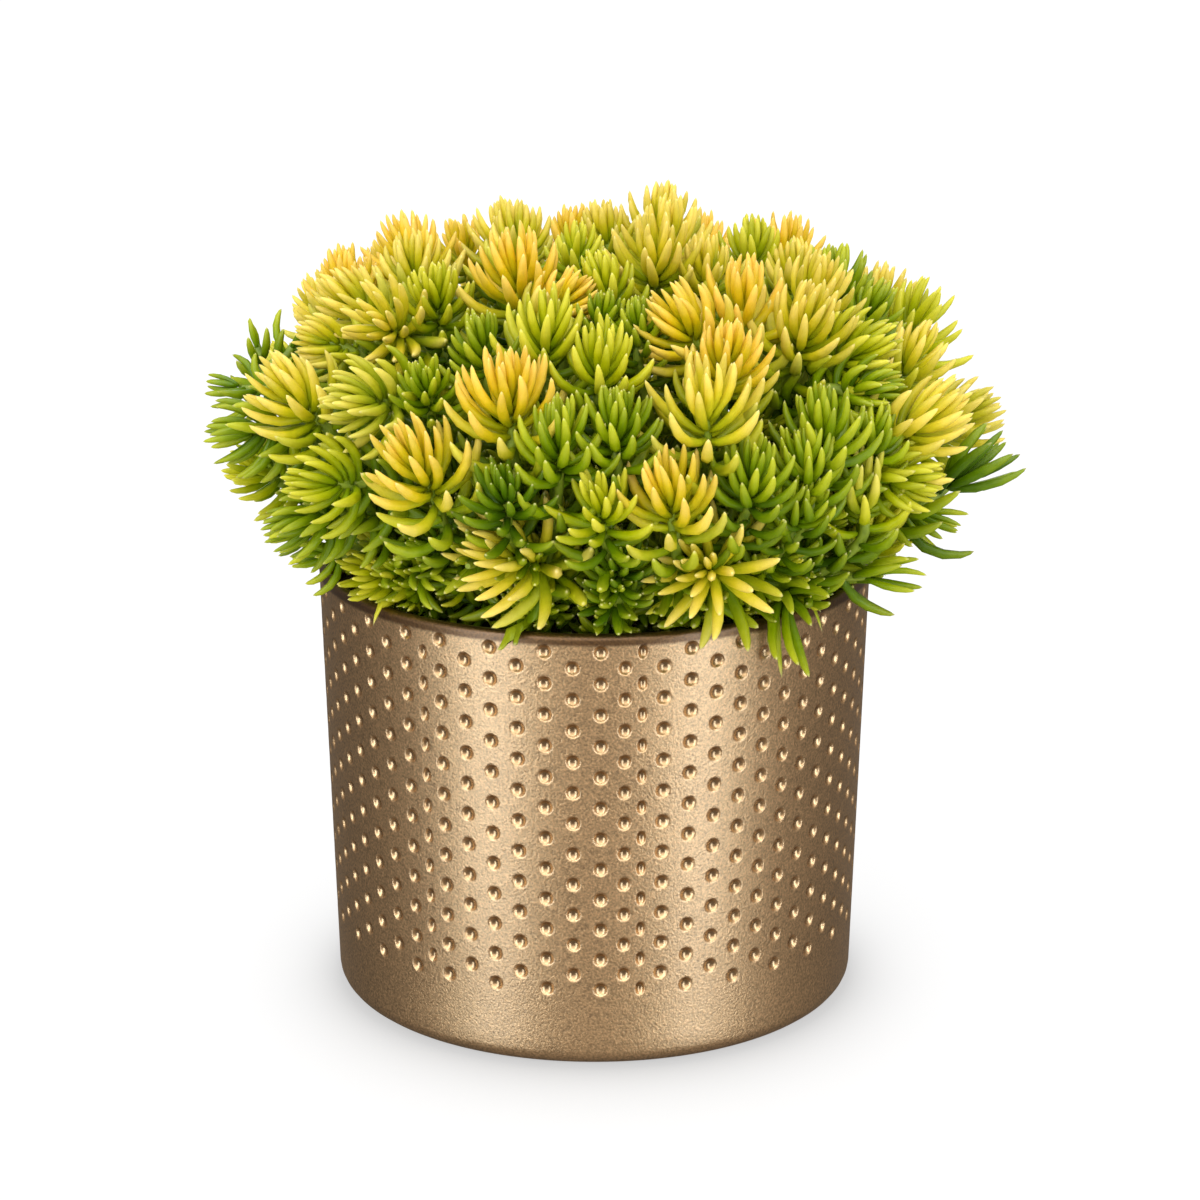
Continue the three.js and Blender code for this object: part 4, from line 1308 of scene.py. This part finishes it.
soil = makeSoil(material("peat", mottledSurface, soilLook))
print("soil made:", trianglesOf(soil), "triangles")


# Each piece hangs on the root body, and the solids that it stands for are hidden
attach(pot, "root")
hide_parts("pot")
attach(soil, "root")
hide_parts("soil")
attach(stemPiece, "root")
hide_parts(*shootNames)
for piece, chosen, sunny in leafPieces:
    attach(piece, "root")
    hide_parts(*[shootNames[k] for k in chosen])


# The studio: a pale floor, three tall soft strips that the metal mirrors, a soft box above and a wide soft sun
studio = {
    "floorSize": 14.0,
    "floorColours": ((100, 100, 100), (94, 94, 94)),
    "floorGlows": ((255, 255, 255), (250, 250, 250)),
    "stripAngle": 43,
    "stripDistance": 1.1,
    "stripMiddle": 0.16,
    "stripSize": (0.4, 1.5),
    "stripPower": 7.0,
    "lampTint": (0.9, 1.05, 1.24),
    "lampAim": (0, 0, 0.09),
    "backPower": 3.0,
    "boxPlace": (0, -0.35, 1.3),
    "boxSize": (1.3, 1.1),
    "boxTilt": -15,
    "topPower": 10.0,
    "sunFrom": (-0.12, -0.9, 0.85),
    "sunStrength": 1.42,
    "sunWidth": 70,
    "sky": 1.17,
    "glossTint": (1.0, 0.87, 0.77, 1),
    "floorGlow": 0.84,
    "paperScale": 900,
    "contactDark": 0.34,
    "contactReach": 0.0075,
    "contactToFront": 0.7,
    "glossLow": 0.28,
    "glossHigh": 0.85,
    "glossBehind": 0.32,
    "glossToRight": 0.13,
}


# almost white paper that glows, with a painted shade where the pot stands on it
def floorSurface(net):
    position = net.surfacePlace()
    paper = net.noise(position, studio["paperScale"], 3)
    sideways, depth, _ = net.split(position)
    reach = net.sum("SQRT", sideways * sideways + depth * depth)
    room = net.sum("MAXIMUM", reach - potSize["baseRadius"] * mm, 0)
    toFront = net.sum("MAXIMUM", -depth / reach, 0)
    fade = room / (studio["contactReach"] * (1 + toFront * studio["contactToFront"]))
    shade = 1 - net.sum("EXPONENT", -fade) * studio["contactDark"]
    tint = net.mixColours(paper * 0.03, *(daylight(*colour) for colour in studio["floorColours"]))
    glow = net.mixColours(paper * 0.01, *(daylight(*colour) for colour in studio["floorGlows"]))
    inputs = {"Base Color": tint * shade, "Roughness": 0.9, "Emission Color": glow * shade}
    return net.surface(inputs | {"Emission Strength": studio["floorGlow"]})


# lights that show only in glossy surfaces, so that they leave the floor's shadow alone
def softLight(name, place, sizes, power):
    lamp = bpy.data.lights.new(name, "AREA")
    lamp.shape = "RECTANGLE"
    lamp.size, lamp.size_y = sizes
    lamp.energy = power
    lamp.color = studio["lampTint"]
    holder = blank(name, lamp)
    holder.location = place
    aim = Vector(studio["lampAim"]) - Vector(place)
    holder.rotation_euler = aim.to_track_quat("-Z", "Y").to_euler()
    holder.visible_camera = False
    holder.visible_diffuse = False
    return holder


half = studio["floorSize"] / 2
corners = [(-half, -half, 0), (half, -half, 0), (half, half, 0), (-half, half, 0)]
floor = blank("studio_floor", meshFrom("studio_floor", corners, [(0, 1, 2, 3)]))
floor.data.materials.append(material("palePaper", floorSurface))
floor.visible_glossy = False

for name, degrees, power in (
    ("strip_left", -studio["stripAngle"], studio["stripPower"]),
    ("strip_right", studio["stripAngle"], studio["stripPower"]),
    ("strip_back", 180, studio["backPower"]),
):
    turn, reach = math.radians(degrees), studio["stripDistance"]
    place = (reach * math.sin(turn), -reach * math.cos(turn), studio["stripMiddle"])
    softLight(name, place, studio["stripSize"], power)
boxAbove = softLight("box_above", studio["boxPlace"], studio["boxSize"], studio["topPower"])
boxAbove.rotation_euler = (math.radians(studio["boxTilt"]), 0, 0)
sun = bpy.data.lights.new("soft_sun", "SUN")
sun.energy = studio["sunStrength"]
sun.angle = math.radians(studio["sunWidth"])
sunHolder = blank("soft_sun", sun)
sunHolder.location = studio["sunFrom"]
sunHolder.rotation_euler = Vector(studio["sunFrom"]).to_track_quat("Z", "Y").to_euler()

# The air: even light for everything but gloss, which sees it dimmer below, behind and to the left
world = bpy.data.worlds.new("studioAir")
scene.world = world
world.use_nodes = True
world.node_tree.nodes.clear()
net = Wiring(world.node_tree)
sideways, depth, height = net.split(net.add("ShaderNodeTexCoord", {}, {}, "Generated"))
dim = net.ease(height, -0.6, 0.9, studio["glossLow"], studio["glossHigh"])
dim = dim * net.ease(depth, -0.5, 0.5, 1, studio["glossBehind"])
dim = dim * (1 + sideways * studio["glossToRight"])
isGloss = net.add("ShaderNodeLightPath", {}, {}, "Is Glossy Ray")
strength = net.mixNumbers(isGloss, studio["sky"], dim)
tint = net.mixColours(isGloss, (1, 1, 1, 1), studio["glossTint"])
air = net.add("ShaderNodeBackground", {}, {"Color": tint, "Strength": strength})
net.add("ShaderNodeOutputWorld", {}, {"Surface": air})

# The camera stands where the photograph was taken from and faces the middle of the rim
camera = bpy.data.objects.new("viewer", bpy.data.cameras.new("viewer"))
scene.collection.objects.link(camera)
scene.camera = camera
camera.data.lens = viewer["lens"]
camera.data.sensor_width = 36
camera.data.shift_x = viewer["shiftX"]
camera.data.shift_y = viewer["shiftY"]
camera.data.clip_end = 30
tilt = viewer["tilt"]
toCamera = Vector((0, -math.cos(tilt), math.sin(tilt))) * viewer["distance"]
camera.location = (Vector((0, 0, potSize["height"])) + toCamera) * mm
camera.rotation_euler = (math.pi / 2 - tilt, 0, 0)
scene.view_settings.view_transform = "Standard"
print("studio made")
